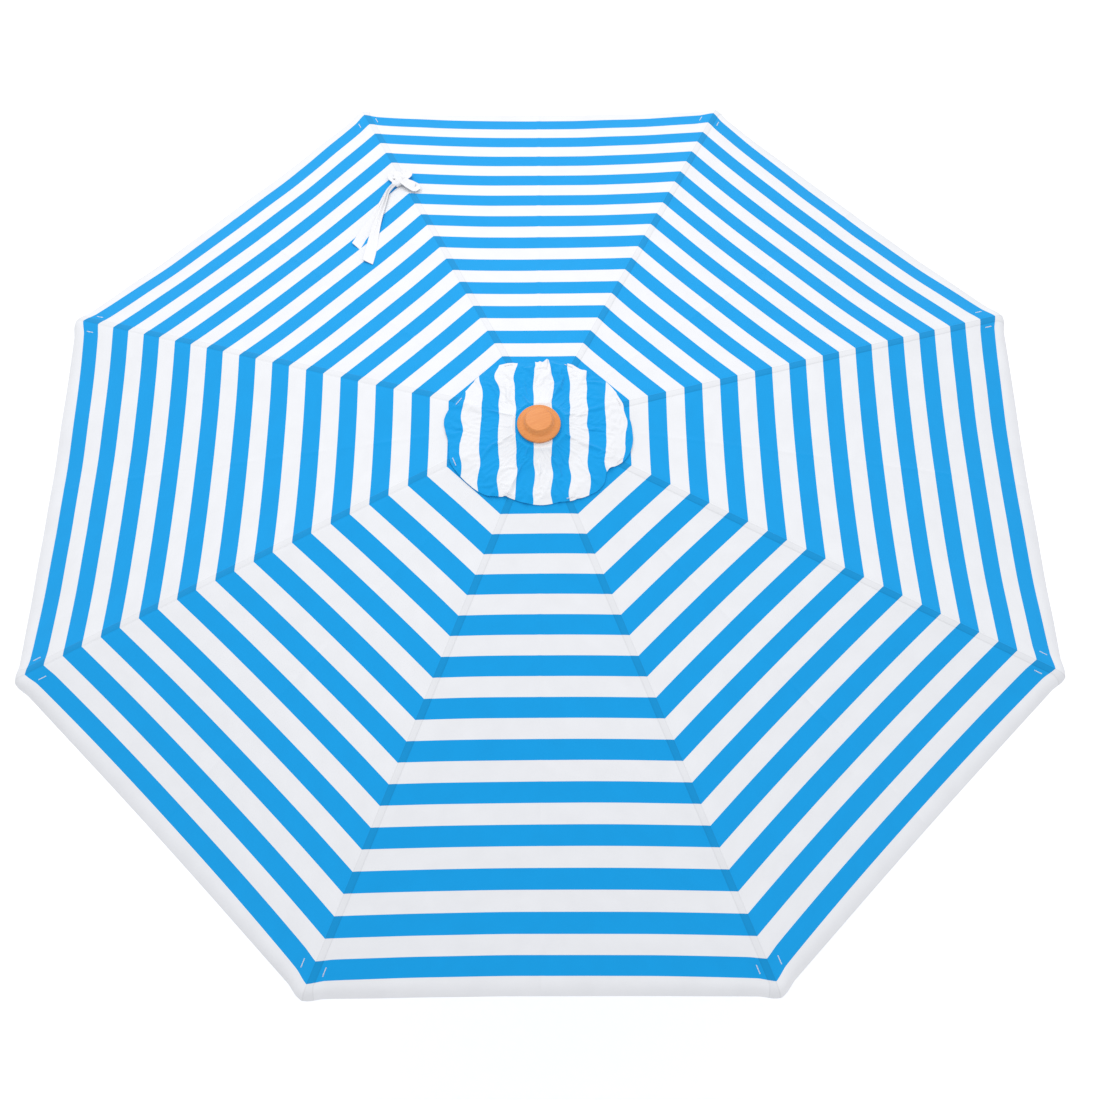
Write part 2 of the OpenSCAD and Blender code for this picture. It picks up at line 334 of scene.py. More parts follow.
def copy_of_node(frame: dict, node: str, name: str, edge: float) -> bpy.types.Object:
    """Copies a CAD node's shape, merges its loose triangles and rounds its edges.

    Args:
        node: The CAD node.
        name: The new piece's name.
        edge: The width of the rounding.

    Returns:
        The copy, at the node's place.
    """
    clear_selection()
    obj = bpy.data.objects.new(name, frame["nodes"][node].data.copy())
    bpy.context.scene.collection.objects.link(obj)
    only_select(obj)
    bpy.ops.object.mode_set(mode="EDIT")
    bpy.ops.mesh.select_all(action="SELECT")
    bpy.ops.mesh.remove_doubles(threshold=0.002 * MM)
    bpy.ops.mesh.dissolve_limited(angle_limit=math.radians(0.5))
    bpy.ops.object.mode_set(mode="OBJECT")
    if edge:
        round_edges(obj, edge)
    return obj


def cloth_grid(
    name: str, rows: int, columns: int, place: Callable[[int, int], tuple[Vector, tuple[float, float]]]
) -> bpy.types.Object:
    """Shapes a flat grid into a piece of cloth.

    Args:
        name: The piece's name.
        rows: Corners along the cloth.
        columns: Corners across it.
        place: Gives a corner's point and its place on the flat cloth, for a row and a column.

    Returns:
        The cloth, with a UV map named "cloth" in metres.
    """
    clear_selection()
    bpy.ops.mesh.primitive_grid_add(x_subdivisions=rows - 1, y_subdivisions=columns - 1, size=1)
    obj = settle(bpy.context.object, name)
    mesh = obj.data
    flat = []
    for vertex in mesh.vertices:
        row = round((vertex.co.x + 0.5) * (rows - 1))
        column = round((vertex.co.y + 0.5) * (columns - 1))
        point, spot = place(row, column)
        vertex.co = point
        flat.append(spot)
    uv = mesh.uv_layers[0]
    uv.name = "cloth"
    for loop in mesh.loops:
        uv.data[loop.index].uv = flat[loop.vertex_index]
    mesh.update()
    for polygon in mesh.polygons:
        polygon.use_smooth = True
    return obj


def thicken(obj: bpy.types.Object, thickness: float) -> None:
    """Gives a sheet its thickness, below its own surface.

    Args:
        obj: The sheet.
        thickness: Its thickness.
    """
    solidify = obj.modifiers.new("thickness", "SOLIDIFY")
    solidify.thickness, solidify.offset = thickness, -1
    solidify.use_even_offset = False
    only_select(obj)
    bpy.ops.object.modifier_apply(modifier=solidify.name)
    bpy.ops.object.shade_smooth_by_angle(angle=math.radians(60))


def grain_map(obj: bpy.types.Object, origin: Vector, along: Vector, across: Vector) -> None:
    """Writes each corner's place in the wood: x along the grain, y and z across it.

    Args:
        obj: The wooden piece.
        origin: Where the grain is measured from.
        along: The direction of the grain.
        across: A direction across the grain.
    """
    third = along.cross(across)
    attribute = obj.data.attributes.new("grain", "FLOAT_VECTOR", "POINT")
    for vertex, value in zip(obj.data.vertices, attribute.data):
        offset = vertex.co - origin
        value.vector = (offset.dot(along), offset.dot(across), offset.dot(third))


# ---- Finishes ------------------------------------------------------------------------------------


class Run(Enum):
    """Which flat direction of the cloth its stripes count across."""

    ALONG = "Y"
    ACROSS = "X"


@dataclass(frozen=True)
class CabanaCloth:
    """Solution-dyed polyester canvas with woven stripes: matt, with a faint sheen, a fine grid of threads
    with painted shade between them, and painted shade along its seams.
    """

    blue: str = "009fe6"
    white: str = "eeeff2"
    pitch: float = 41.4 * MM
    # The real threads are 0.5 mm apart. They are drawn 2.4 mm apart so that they show, with painted shade
    # between them.
    thread: float = 2.4 * MM
    # The double cloth beside a ridge, its two rows of stitches, and how far they are from its edges: shade
    # is painted on the cloth and the stitches there
    seam: float = 15 * MM
    stitch: float = 1 * MM
    stitch_in: float = 1.5 * MM

    def stripes(
        self, tree: bpy.types.NodeTree, value: bpy.types.NodeSocket, first: float, pitch: float
    ) -> bpy.types.NodeSocket:
        """Gives 1 on blue and 0 on white, where a white stripe starts at first.

        Args:
            tree: The material's node tree.
            value: The distance across the stripes.
            first: Where a white stripe starts.
            pitch: The width of one stripe.

        Returns:
            The 0 or 1.
        """
        shifted = add_node(tree, "ShaderNodeMath", {0: value, 1: first}, operation="SUBTRACT")
        scaled = add_node(tree, "ShaderNodeMath", {0: shifted.outputs[0], 1: pitch}, operation="DIVIDE")
        wrapped = add_node(
            tree, "ShaderNodeMath", {0: scaled.outputs[0], 1: 2.0}, operation="FLOORED_MODULO"
        )
        return add_node(
            tree, "ShaderNodeMath", {0: wrapped.outputs[0], 1: 1.0}, operation="GREATER_THAN"
        ).outputs[0]

    def band(
        self, tree: bpy.types.NodeTree, value: bpy.types.NodeSocket, low: float, high: float
    ) -> bpy.types.NodeSocket:
        """Gives 1 where value is between low and high, and 0 elsewhere.

        Args:
            tree: The material's node tree.
            value: The distance to compare.
            low: The band's lower edge.
            high: The band's upper edge.

        Returns:
            The 0 or 1.
        """
        middle, half = (low + high) / 2, (high - low) / 2
        return add_node(
            tree, "ShaderNodeMath", {0: value, 1: middle, 2: half}, operation="COMPARE"
        ).outputs[0]

    def material(
        self, name: str, run: Run, first: float, pitch: float, felled: int = 0
    ) -> bpy.types.Material:
        """Makes the cloth's material.

        Args:
            name: The material's name.
            run: The flat direction that the stripes count across.
            first: Where a white stripe starts, in metres.
            pitch: The width of one stripe.
            felled: The side of the ridge that the seam's double cloth lies on, or 0 for none.

        Returns:
            The material, which reads the UV map "cloth".
        """
        constants = {
            "Roughness": 0.82, "Sheen Weight": 0.15, "Sheen Roughness": 0.5, "Specular IOR Level": 0.25
        }
        made, tree, shader = blank_material(name, constants)
        uv = add_node(tree, "ShaderNodeUVMap", uv_map="cloth").outputs["UV"]
        axes = add_node(tree, "ShaderNodeSeparateXYZ", {"Vector": uv}).outputs
        blue = self.stripes(tree, axes[run.value], first, pitch)
        cloudy = add_node(tree, "ShaderNodeTexNoise", {"Vector": uv, "Scale": 22.0, "Detail": 4.0})
        shade = add_node(
            tree, "ShaderNodeMapRange", {"Value": cloudy.outputs["Fac"], 3: 0.95, 4: 1.04}
        ).outputs["Result"]
        # The weave paints shade between the threads into the colour.
        grid = self.weave(tree, axes)
        shade = add_node(tree, "ShaderNodeMath", {0: shade, 1: grid}, operation="MULTIPLY").outputs[0]
        # Painted shade along the seam: darker double cloth and stitch rows beside the ridge.
        if felled:
            shade = self.seam_shade(tree, axes["X"], felled, blue, shade)
        dyed = add_node(
            tree, "ShaderNodeMix", {"Factor": blue, 6: linear(self.white), 7: linear(self.blue)},
            data_type="RGBA",
        ).outputs[2]
        toned = add_node(tree, "ShaderNodeVectorMath", {0: dyed, "Scale": shade}, operation="SCALE")
        tree.links.new(toned.outputs[0], shader.inputs["Base Color"])
        bump = add_node(
            tree, "ShaderNodeBump", {"Strength": 0.12, "Distance": 0.3 * MM, "Height": grid}
        )
        tree.links.new(bump.outputs["Normal"], shader.inputs["Normal"])
        return made

    def weave(self, tree: bpy.types.NodeTree, axes: bpy.types.bpy_prop_collection) -> bpy.types.NodeSocket:
        """Gives the plain weave: crossing threads, near 1 on a thread and lower between threads, which
        paints shade into the colour between them.

        Args:
            tree: The material's node tree.
            axes: The flat distances, by the names X and Y.

        Returns:
            A factor for the colour that paints shade between the threads, also used as the height of the
            threads.
        """
        waves = []
        for axis in ("X", "Y"):
            turns = add_node(
                tree, "ShaderNodeMath", {0: axes[axis], 1: math.tau / self.thread}, operation="MULTIPLY"
            )
            waves.append(add_node(tree, "ShaderNodeMath", {0: turns.outputs[0]}, operation="SINE"))
        both = add_node(
            tree, "ShaderNodeMath", {0: waves[0].outputs[0], 1: waves[1].outputs[0]}, operation="MULTIPLY"
        )
        return add_node(
            tree, "ShaderNodeMapRange", {"Value": both.outputs[0], 1: -1.0, 2: 1.0, 3: 0.972, 4: 1.0}
        ).outputs["Result"]

    def seam_shade(
        self, tree: bpy.types.NodeTree, across: bpy.types.NodeSocket, felled: int,
        blue: bpy.types.NodeSocket, shade: bpy.types.NodeSocket,
    ) -> bpy.types.NodeSocket:
        """Paints shade on the double cloth beside a ridge, and on its two rows of stitches, by darkening
        them.

        Args:
            tree: The material's node tree.
            across: The distance from the ridge.
            felled: The side of the ridge that the double cloth lies on.
            blue: 1 on blue stripes.
            shade: The shade so far.

        Returns:
            The shade with the painted shade of the seam in it.
        """
        low, high = sorted((0.0, felled * self.seam))
        double = self.band(tree, across, low, high)
        # Painted shade on the double cloth, deeper on blue than on white.
        depth = add_node(tree, "ShaderNodeMapRange", {"Value": blue, 3: 0.96, 4: 0.84}).outputs["Result"]
        darker = add_node(
            tree, "ShaderNodeMix", {"Factor": double, 2: 1.0, 3: depth}, data_type="FLOAT"
        ).outputs[0]
        half = self.stitch / 2
        places = (self.stitch_in, self.seam - self.stitch_in)
        rows = [self.band(tree, across, felled * x - half, felled * x + half) for x in places]
        stitched = add_node(
            tree, "ShaderNodeMath", {0: rows[0], 1: rows[1]}, operation="MAXIMUM"
        ).outputs[0]
        # Painted shade in the two stitch rows.
        stitch = add_node(
            tree, "ShaderNodeMapRange", {"Value": stitched, 3: 1.0, 4: 0.93}
        ).outputs["Result"]
        both = add_node(tree, "ShaderNodeMath", {0: darker, 1: stitch}, operation="MULTIPLY").outputs[0]
        return add_node(tree, "ShaderNodeMath", {0: shade, 1: both}, operation="MULTIPLY").outputs[0]


@dataclass(frozen=True)
class WovenTape:
    """Bleached cotton tape: matt and soft, with a ribbed weave and painted shade in the troughs between its
    ribs.
    """

    colour: str = "f1f1f3"
    rib: float = 1.6 * MM

    def material(self, name: str) -> bpy.types.Material:
        """Makes the tape's material, which reads the UV map "cloth".

        Args:
            name: The material's name.

        Returns:
            The material.
        """
        made, tree, shader = blank_material(name, {"Roughness": 0.85, "Sheen Weight": 0.2})
        uv = add_node(tree, "ShaderNodeUVMap", uv_map="cloth").outputs["UV"]
        ribs = add_node(
            tree, "ShaderNodeTexWave", {"Vector": uv, "Scale": 1 / self.rib / math.tau, "Distortion": 0.6}
        ).outputs["Fac"]
        # The tone is lower in the troughs between the ribs: painted shade.
        tone = add_node(tree, "ShaderNodeMapRange", {"Value": ribs, 3: 0.95, 4: 1.0}).outputs["Result"]
        colour = add_node(
            tree, "ShaderNodeVectorMath", {0: linear(self.colour)[:3], "Scale": tone}, operation="SCALE"
        )
        tree.links.new(colour.outputs[0], shader.inputs["Base Color"])
        bump = add_node(tree, "ShaderNodeBump", {"Strength": 0.25, "Distance": 0.3 * MM, "Height": ribs})
        tree.links.new(bump.outputs["Normal"], shader.inputs["Normal"])
        return made


@dataclass(frozen=True)
class Hardwood:
    """Varnished hardwood: straight grain and pores under a satin coat."""

    name: str
    light: str
    dark: str
    # A growth line every few millimetres, stretched far along the grain.
    line: float = 3.5 * MM
    roughness: float = 0.42

    def material(self) -> bpy.types.Material:
        """Makes the wood's material, which reads the attribute "grain".

        Returns:
            The material.
        """
        made, tree, shader = blank_material(
            self.name, {"Roughness": self.roughness, "Coat Weight": 0.25, "Coat Roughness": 0.25}
        )
        grain = add_node(tree, "ShaderNodeAttribute", attribute_name="grain").outputs["Vector"]
        stretched = add_node(
            tree, "ShaderNodeMapping", {"Vector": grain, "Scale": (0.04, 1.0, 1.0)}
        ).outputs["Vector"]
        lines = add_node(
            tree, "ShaderNodeTexNoise",
            {
                "Vector": stretched, "Scale": 1 / self.line, "Detail": 5.0, "Roughness": 0.62,
                "Distortion": 0.4,
            },
        ).outputs["Fac"]
        pores = add_node(
            tree, "ShaderNodeTexNoise", {"Vector": stretched, "Scale": 5 / self.line, "Detail": 2.0}
        ).outputs["Fac"]
        mixed = add_node(tree, "ShaderNodeMath", {0: lines, 1: pores}, operation="MULTIPLY").outputs[0]
        ramp = add_node(
            tree, "ShaderNodeMapRange", {"Value": mixed, 1: 0.12, 2: 0.4, 3: 0.0, 4: 1.0}
        ).outputs["Result"]
        colour = add_node(
            tree, "ShaderNodeMix", {"Factor": ramp, 6: linear(self.dark), 7: linear(self.light)},
            data_type="RGBA",
        ).outputs[2]
        tree.links.new(colour, shader.inputs["Base Color"])
        bump = add_node(tree, "ShaderNodeBump", {"Strength": 0.18, "Distance": 0.2 * MM, "Height": pores})
        tree.links.new(bump.outputs["Normal"], shader.inputs["Normal"])
        return made


@dataclass(frozen=True)
class Metal:
    """Worked metal: plated steel or brass, with fine drawn scratches."""

    name: str
    colour: str
    roughness: float
    scratch: float = 0.6 * MM

    def material(self) -> bpy.types.Material:
        """Makes the metal's material, which reads Object coordinates.

        Returns:
            The material.
        """
        made, tree, shader = blank_material(self.name, {"Metallic": 1.0})
        place = add_node(tree, "ShaderNodeTexCoord").outputs["Object"]
        long = add_node(
            tree, "ShaderNodeMapping", {"Vector": place, "Scale": (1, 1, 0.15)}
        ).outputs["Vector"]
        marks = add_node(
            tree, "ShaderNodeTexNoise", {"Vector": long, "Scale": 1 / self.scratch, "Detail": 3.0}
        ).outputs["Fac"]
        rough = add_node(
            tree, "ShaderNodeMapRange",
            {"Value": marks, 3: self.roughness - 0.07, 4: self.roughness + 0.1},
        ).outputs["Result"]
        tone = add_node(tree, "ShaderNodeMapRange", {"Value": marks, 3: 0.9, 4: 1.0}).outputs["Result"]
        colour = add_node(
            tree, "ShaderNodeVectorMath", {0: linear(self.colour)[:3], "Scale": tone}, operation="SCALE"
        )
        tree.links.new(colour.outputs[0], shader.inputs["Base Color"])
        tree.links.new(rough, shader.inputs["Roughness"])
        return made


@dataclass(frozen=True)
class MouldedPlastic:
    """Injection-moulded plastic: an even, slightly grained surface."""

    name: str
    colour: str
    roughness: float = 0.5

    def material(self) -> bpy.types.Material:
        """Makes the plastic's material, which reads Object coordinates.

        Returns:
            The material.
        """
        made, tree, shader = blank_material(self.name, {"Roughness": self.roughness})
        place = add_node(tree, "ShaderNodeTexCoord").outputs["Object"]
        grit = add_node(
            tree, "ShaderNodeTexNoise", {"Vector": place, "Scale": 900.0, "Detail": 2.0}
        ).outputs["Fac"]
        tone = add_node(tree, "ShaderNodeMapRange", {"Value": grit, 3: 0.93, 4: 1.05}).outputs["Result"]
        colour = add_node(
            tree, "ShaderNodeVectorMath", {0: linear(self.colour)[:3], "Scale": tone}, operation="SCALE"
        )
        tree.links.new(colour.outputs[0], shader.inputs["Base Color"])
        bump = add_node(tree, "ShaderNodeBump", {"Strength": 0.1, "Distance": 0.1 * MM, "Height": grit})
        tree.links.new(bump.outputs["Normal"], shader.inputs["Normal"])
        return made


@dataclass
class Finishes:
    """Every finish on the umbrella, made once."""

    cloth: CabanaCloth = field(default_factory=CabanaCloth)
    made: dict[str, bpy.types.Material] = field(default_factory=dict)

    def __post_init__(self) -> None:
        """Makes the materials that several pieces share."""
        shared = (
            Hardwood("varnished_ash_pole", "dcb07c", "b98650"),
            Hardwood("varnished_ash_slats", "d9ab74", "b17c48", line=2.5 * MM),
            Hardwood("stained_beech_turnings", "ec9a52", "dd8641", line=4 * MM, roughness=0.55),
            Metal("zinc_plated_steel", "c9ccd0", 0.3),
            Metal("polished_brass", "d9b25a", 0.24),
            MouldedPlastic("black_nylon_tip", "2b2c2f", 0.45),
            MouldedPlastic("natural_nylon_bush", "e6e2d6", 0.4),
        )
        for finish in shared:
            self.made[finish.name] = finish.material()
        self.made["bleached_cotton_tape"] = WovenTape().material("bleached_cotton_tape")

    def __getitem__(self, name: str) -> bpy.types.Material:
        """A shared material by its name."""
        return self.made[name]


# ---- Cloth ---------------------------------------------------------------------------------------


def bar_tack(name: str, bases: list[Matrix], length: float, count: int = 19) -> bpy.types.Object:
    """Makes short rows of dense zigzag stitches.

    Args:
        name: The piece's name.
        bases: A frame on the cloth for each row: x along the row, z away from the cloth.
        length: The length of a row.
        count: Stitches in a row.

    Returns:
        All the rows as one piece.
    """
    clear_selection()
    bpy.ops.mesh.primitive_cylinder_add(vertices=6, radius=0.3 * MM, depth=1.9 * MM)
    stitch = bpy.context.object
    threads = []
    for base in bases:
        for i in range(count):
            thread = stitch.copy()
            thread.data = stitch.data.copy()
            bpy.context.scene.collection.objects.link(thread)
            shift = Matrix.Translation((length * (i / (count - 1) - 0.5), 0, 0.25 * MM))
            lean = Matrix.Rotation(math.radians(14 if i % 2 else -14), 4, "Z")
            thread.matrix_world = base @ shift @ lean @ Matrix.Rotation(math.pi / 2, 4, "X")
            threads.append(thread)
    bpy.data.objects.remove(stitch)
    return join(threads, name)


@dataclass
class Canopy:
    """The striped cloth: one gore over each rib, with its seam, hem, pocket and bar tacks."""

    apex_z: float
    finishes: Finishes
    slope: float = math.radians(13.06)
    vent: float = 155 * MM
    tip: float = 1114 * MM
    first_white: float = 196.1 * MM
    rim_pull: float = 9 * MM
    corner_pull: float = 4.5 * MM
    corner_reach: float = 34 * MM
    rim_sag: float = 11 * MM
    hem_past: float = 26 * MM
    hem_allowance: float = 34 * MM
    # Columns of corners: evenly spread ones lie between a strip beside the seam and one at the middle.
    seam_strip: float = 30 * MM
    middle_strip: float = 10 * MM
    rows: int = 92
    # A panel is cut at a slant to its seams, so it has less area than its seam times its width.
    cut_share: float = 0.952
    closed_share: float = 0.15
    lift: float = 2.2 * MM
    thickness: float = 0.8 * MM
    last_felled: int = 6
    tack_across: float = 23 * MM
    tack_along: float = 1089 * MM
    tack_length: float = 16 * MM

    def half_width(self, along: float) -> float:
        """Half a panel's width, from its seam to its middle, at a distance from the apex."""
        return along * math.cos(self.slope) * math.sin(HALF_STEP)

    def panel(self, rib: int, across: float) -> int:
        """The number of the panel on that side of a rib."""
        return rib if across >= 0 else (rib - 2) % RIBS + 1

    def from_middle(self, along: float, across: float) -> float:
        """The distance from the panel's middle line, the same for both of its gores."""
        half = self.half_width(along)
        return across - half if across >= 0 else half + across

    def relief(self, rib: int, along: float, across: float) -> float:
        """How far wrinkles, the middle crease and the seam lift the cloth.

        Args:
            rib: The number of the rib under the gore.
            along: The distance from the apex along the seam.
            across: The distance from the seam, positive on the side of the next rib.

        Returns:
            The height above the smooth cloth.
        """
        panel = self.panel(rib, across)
        middle = self.from_middle(along, across)
        share = min(1.0, abs(across) / self.half_width(along))
        loose = smooth(share, 0.0, 0.35)
        broad = noise.noise(Vector((middle / 0.21, along / 0.26, panel * 7.3)))
        fine = noise.noise(Vector((middle / 0.07, along / 0.19, panel * 3.1 + 40)))
        ripple = noise.noise(Vector((middle / 0.11, along / 0.5, panel * 5.7 + 80)))
        fold = noise.noise(Vector((along / 0.12, panel * 9.1, 3.0)))
        near_rim = smooth(along, 0.86, 1.12)
        height = loose * (2.0 * broad + 0.45 * fine + 2.6 * near_rim * ripple) * MM
        height += (0.5 + 0.7 * fold) * MM * math.exp(-((middle / (5 * MM)) ** 2))
        side = self.felled_side(rib)
        if across * side >= 0:
            height += 0.5 * MM * (1 - smooth(abs(across), 13.5 * MM, 15 * MM))
        else:
            height += 0.5 * MM * (1 - smooth(abs(across), 0, 1.2 * MM))
        return height - 0.6 * MM * math.exp(-((across / (4 * MM)) ** 2))

    def felled_side(self, rib: int) -> int:
        """The side that a seam's double cloth lies on: the last seam is felled the other way."""
        return 1 if rib == self.last_felled else -1

    def flat_point(self, rib: int, along: float, across: float) -> Vector:
        """A point of the cloth before wrinkles: a flat panel, pulled in and sagging at its middle.

        Args:
            rib: The number of the rib under the gore.
            along: The distance from the apex along the seam.
            across: The distance from the seam, positive on the side of the next rib.

        Returns:
            The point.
        """
        share = min(1.0, abs(across) / self.half_width(along))
        slow = 1 - (1 - share) ** 2.4
        corner = smooth(abs(across), 0, self.corner_reach) * smooth(along, 1.03, 1.105)
        outward = along * math.cos(self.slope) - abs(across) * math.sin(HALF_STEP)
        sideways = across * math.cos(HALF_STEP)
        radius = math.hypot(outward, sideways)
        pull = self.rim_pull * (along / self.tip) ** 1.6 * slow + self.corner_pull * corner
        turn = azimuth(rib) + math.atan2(sideways, outward)
        sag = self.rim_sag * (along / self.tip) ** 2.5 * slow
        height = self.apex_z - along * math.sin(self.slope) - sag
        return Vector(((radius - pull) * math.cos(turn), (radius - pull) * math.sin(turn), height))

    def point(self, rib: int, along: float, across: float) -> Vector:
        """A point of the canopy's upper face.

        Args:
            rib: The number of the rib under the gore.
            along: The distance from the apex along the seam.
            across: The distance from the seam, positive on the side of the next rib.

        Returns:
            The point.
        """
        spot = self.flat_point(rib, along, across)
        spot.z += self.lift + self.relief(rib, along, across)
        return spot

    def hem_point(self, rib: int, across: float, share: float) -> Vector:
        """A point of the hem, which turns down past the rim: share runs from 0 at the tips' line to 1.

        Args:
            rib: The number of the rib under the gore.
            across: The distance from the seam, positive on the side of the next rib.
            share: 0 at the tips' line and 1 at the hem's edge.

        Returns:
            The point.
        """
        start = self.point(rib, self.tip, across)
        slow = min(1.0, abs(across) / self.half_width(self.tip))
        slow = 1 - (1 - slow) ** 3
        out = (self.hem_past - 6 * MM) + 6 * MM * slow
        down = 21 * MM - 7 * MM * slow
        panel = self.panel(rib, across)
        middle = self.from_middle(self.tip, across)
        wave = noise.noise(Vector((middle / 0.09, 2.0, panel * 4.4))) * smooth(slow, 0, 0.3)
        side = math.copysign(HALF_STEP, across) if across else 0.0
        facing = azimuth(rib) + side * smooth(abs(across), 0, 7 * MM)
        outward = Vector((math.cos(facing), math.sin(facing), 0))
        end = start + outward * out + Vector((0, 0, -down + 1.5 * MM * wave))
        reach = (0.75 - 0.2 * slow) * out
        bend = start + outward * reach + Vector((0, 0, -reach * math.tan(self.slope)))
        return start * (1 - share) ** 2 + bend * 2 * share * (1 - share) + end * share**2

    def columns(self) -> list[tuple[float, float]]:
        """Corners across half a gore, as a fixed distance and a share of the free width.

        Returns:
            The pairs, from the seam to the middle of the panel.
        """
        near = [0, 0.8, 2, 4, 7, 10, 13.5, 14.3, 15, 17, 19, 22, 26, 30]
        fixed = [(x * MM, 0.0) for x in near]
        free = [(self.seam_strip, i / 19) for i in range(1, 19)]
        middle = [(-x * MM, 1.0) for x in (10, 7, 4.5, 2.5, 1, 0)]
        return fixed + free + middle

    def across_of(self, along: float, column: tuple[float, float]) -> float:
        """The distance from the seam of one column, at a distance from the apex.

        Args:
            along: The distance from the apex along the seam.
            column: The fixed distance and the share.

        Returns:
            The distance across.
        """
        fixed, share = column
        half = self.half_width(along)
        if share == 1.0:
            return half + fixed
        return fixed + share * (half - self.seam_strip - self.middle_strip)

    def gore(self, rib: int) -> bpy.types.Object:
        """Makes the cloth over one rib, from one panel's middle to the next.

        Args:
            rib: The number of the rib under the gore.

        Returns:
            The cloth, with its thickness.
        """
        half = self.columns()
        columns = [(-1, c) for c in reversed(half[1:])] + [(1, c) for c in half]
        vent_hem = [0, 1, 3, 8, 14]
        rows = [self.vent + x * MM for x in vent_hem]
        start = rows[-1]
        rows += [start + (self.tip - start) * i / self.rows for i in range(1, self.rows + 1)]
        hem_rows = [0.12, 0.25, 0.4, 0.55, 0.7, 0.85, 0.96, 1.0]

        def place(row: int, column: int) -> tuple[Vector, tuple[float, float]]:
            """Gives a corner of the gore and its place on the flat cloth.

            Args:
                row: Which row of corners.
                column: Which corner in the row.

            Returns:
                Its point, and its place on the flat cloth.
            """
            side, spec = columns[column]
            if row < len(rows):
                along = rows[row]
                across = side * self.across_of(along, spec)
                return self.point(rib, along, across), (across, along)
            across = side * self.across_of(self.tip, spec)
            share = hem_rows[row - len(rows)]
            return self.hem_point(rib, across, share), (across, self.tip + share * self.hem_allowance)

        cloth = cloth_grid(f"canopy_cloth_{rib}", len(rows) + len(hem_rows), len(columns), place)
        thicken(cloth, self.thickness)
        return cloth

    def cloth_axes(self, rib: int, along: float, across: float) -> Matrix:
        """A frame that lies on the cloth: x outwards, y across, z away from it.

        Args:
            rib: The number of the rib under the gore.
            along: The distance from the apex along the seam.
            across: The distance from the seam, positive on the side of the next rib.

        Returns:
            The frame, with its origin on the cloth.
        """
        step = 2 * MM
        here = self.point(rib, along, across)
        outward = (self.point(rib, along + step, across) - here).normalized()
        sideways = self.point(rib, along, across + step) - here
        up = outward.cross(sideways).normalized()
        axes = Matrix((outward, up.cross(outward), up)).transposed().to_4x4()
        axes.translation = here
        return axes

    def bar_tacks(self, rib: int) -> bpy.types.Object:
        """Makes the two bar tacks that close a rib's pocket."""
        bases = [self.cloth_axes(rib, self.tack_along, side * self.tack_across) for side in (-1, 1)]
        return bar_tack(f"bar_tacks_{rib}", bases, self.tack_length)

    def pocket(self, rib: int) -> bpy.types.Object:
        """Makes the sleeve under the cloth that holds a rib's tip.

        Args:
            rib: The number of the rib under the gore.

        Returns:
            The sleeve, with its thickness.
        """
        across = [-26, -18, -12, -9.8, -9, 0, 9, 9.8, 12, 18, 26]
        depth = [0.6, 1.2, 5, 13, 15.5, 16.5, 15.5, 13, 5, 1.2, 0.6]
        rows = [1.04, 1.055, 1.07, 1.085, 1.1, 1.11, 1.114]

        def place(row: int, column: int) -> tuple[Vector, tuple[float, float]]:
            """Gives a corner of the pocket and its place on the flat cloth.

            Args:
                row: Which row of corners.
                column: Which corner in the row.

            Returns:
                Its point, and its place on the flat cloth.
            """
            along = rows[row]
            spot = self.point(rib, along, across[column] * MM)
            spot.z -= depth[column] * MM + 1.2 * MM
            return spot, (across[column] * MM, along)

        sleeve = cloth_grid(f"rib_pocket_{rib}", len(rows), len(across), place)
        thicken(sleeve, 0.8 * MM)
        return sleeve

    def build(self) -> None:
        """Makes and dresses every piece of the canopy."""
        look = self.finishes.cloth
        sides = {
            side: look.material(
                f"striped_canvas_{name}", Run.ALONG, self.first_white, look.pitch, felled=side
            )
            for side, name in ((-1, "a"), (1, "b"))
        }
        for rib in range(1, RIBS + 1):
            body, striped = f"rib_{rib}", sides[self.felled_side(rib)]
            cloth = self.gore(rib)
            dress(cloth, striped, body, "canopy_cloth", f"canopy_gore_{rib}")
            pocket = self.pocket(rib)
            dress(pocket, striped, body, "canopy_cloth")
            tacks = self.bar_tacks(rib)
            dress(tacks, self.finishes["bleached_cotton_tape"], body, "white_tape")
            gather((cloth, pocket, tacks))
            LOG.info("canopy cloth %d: %d faces", rib, len(cloth.data.polygons))


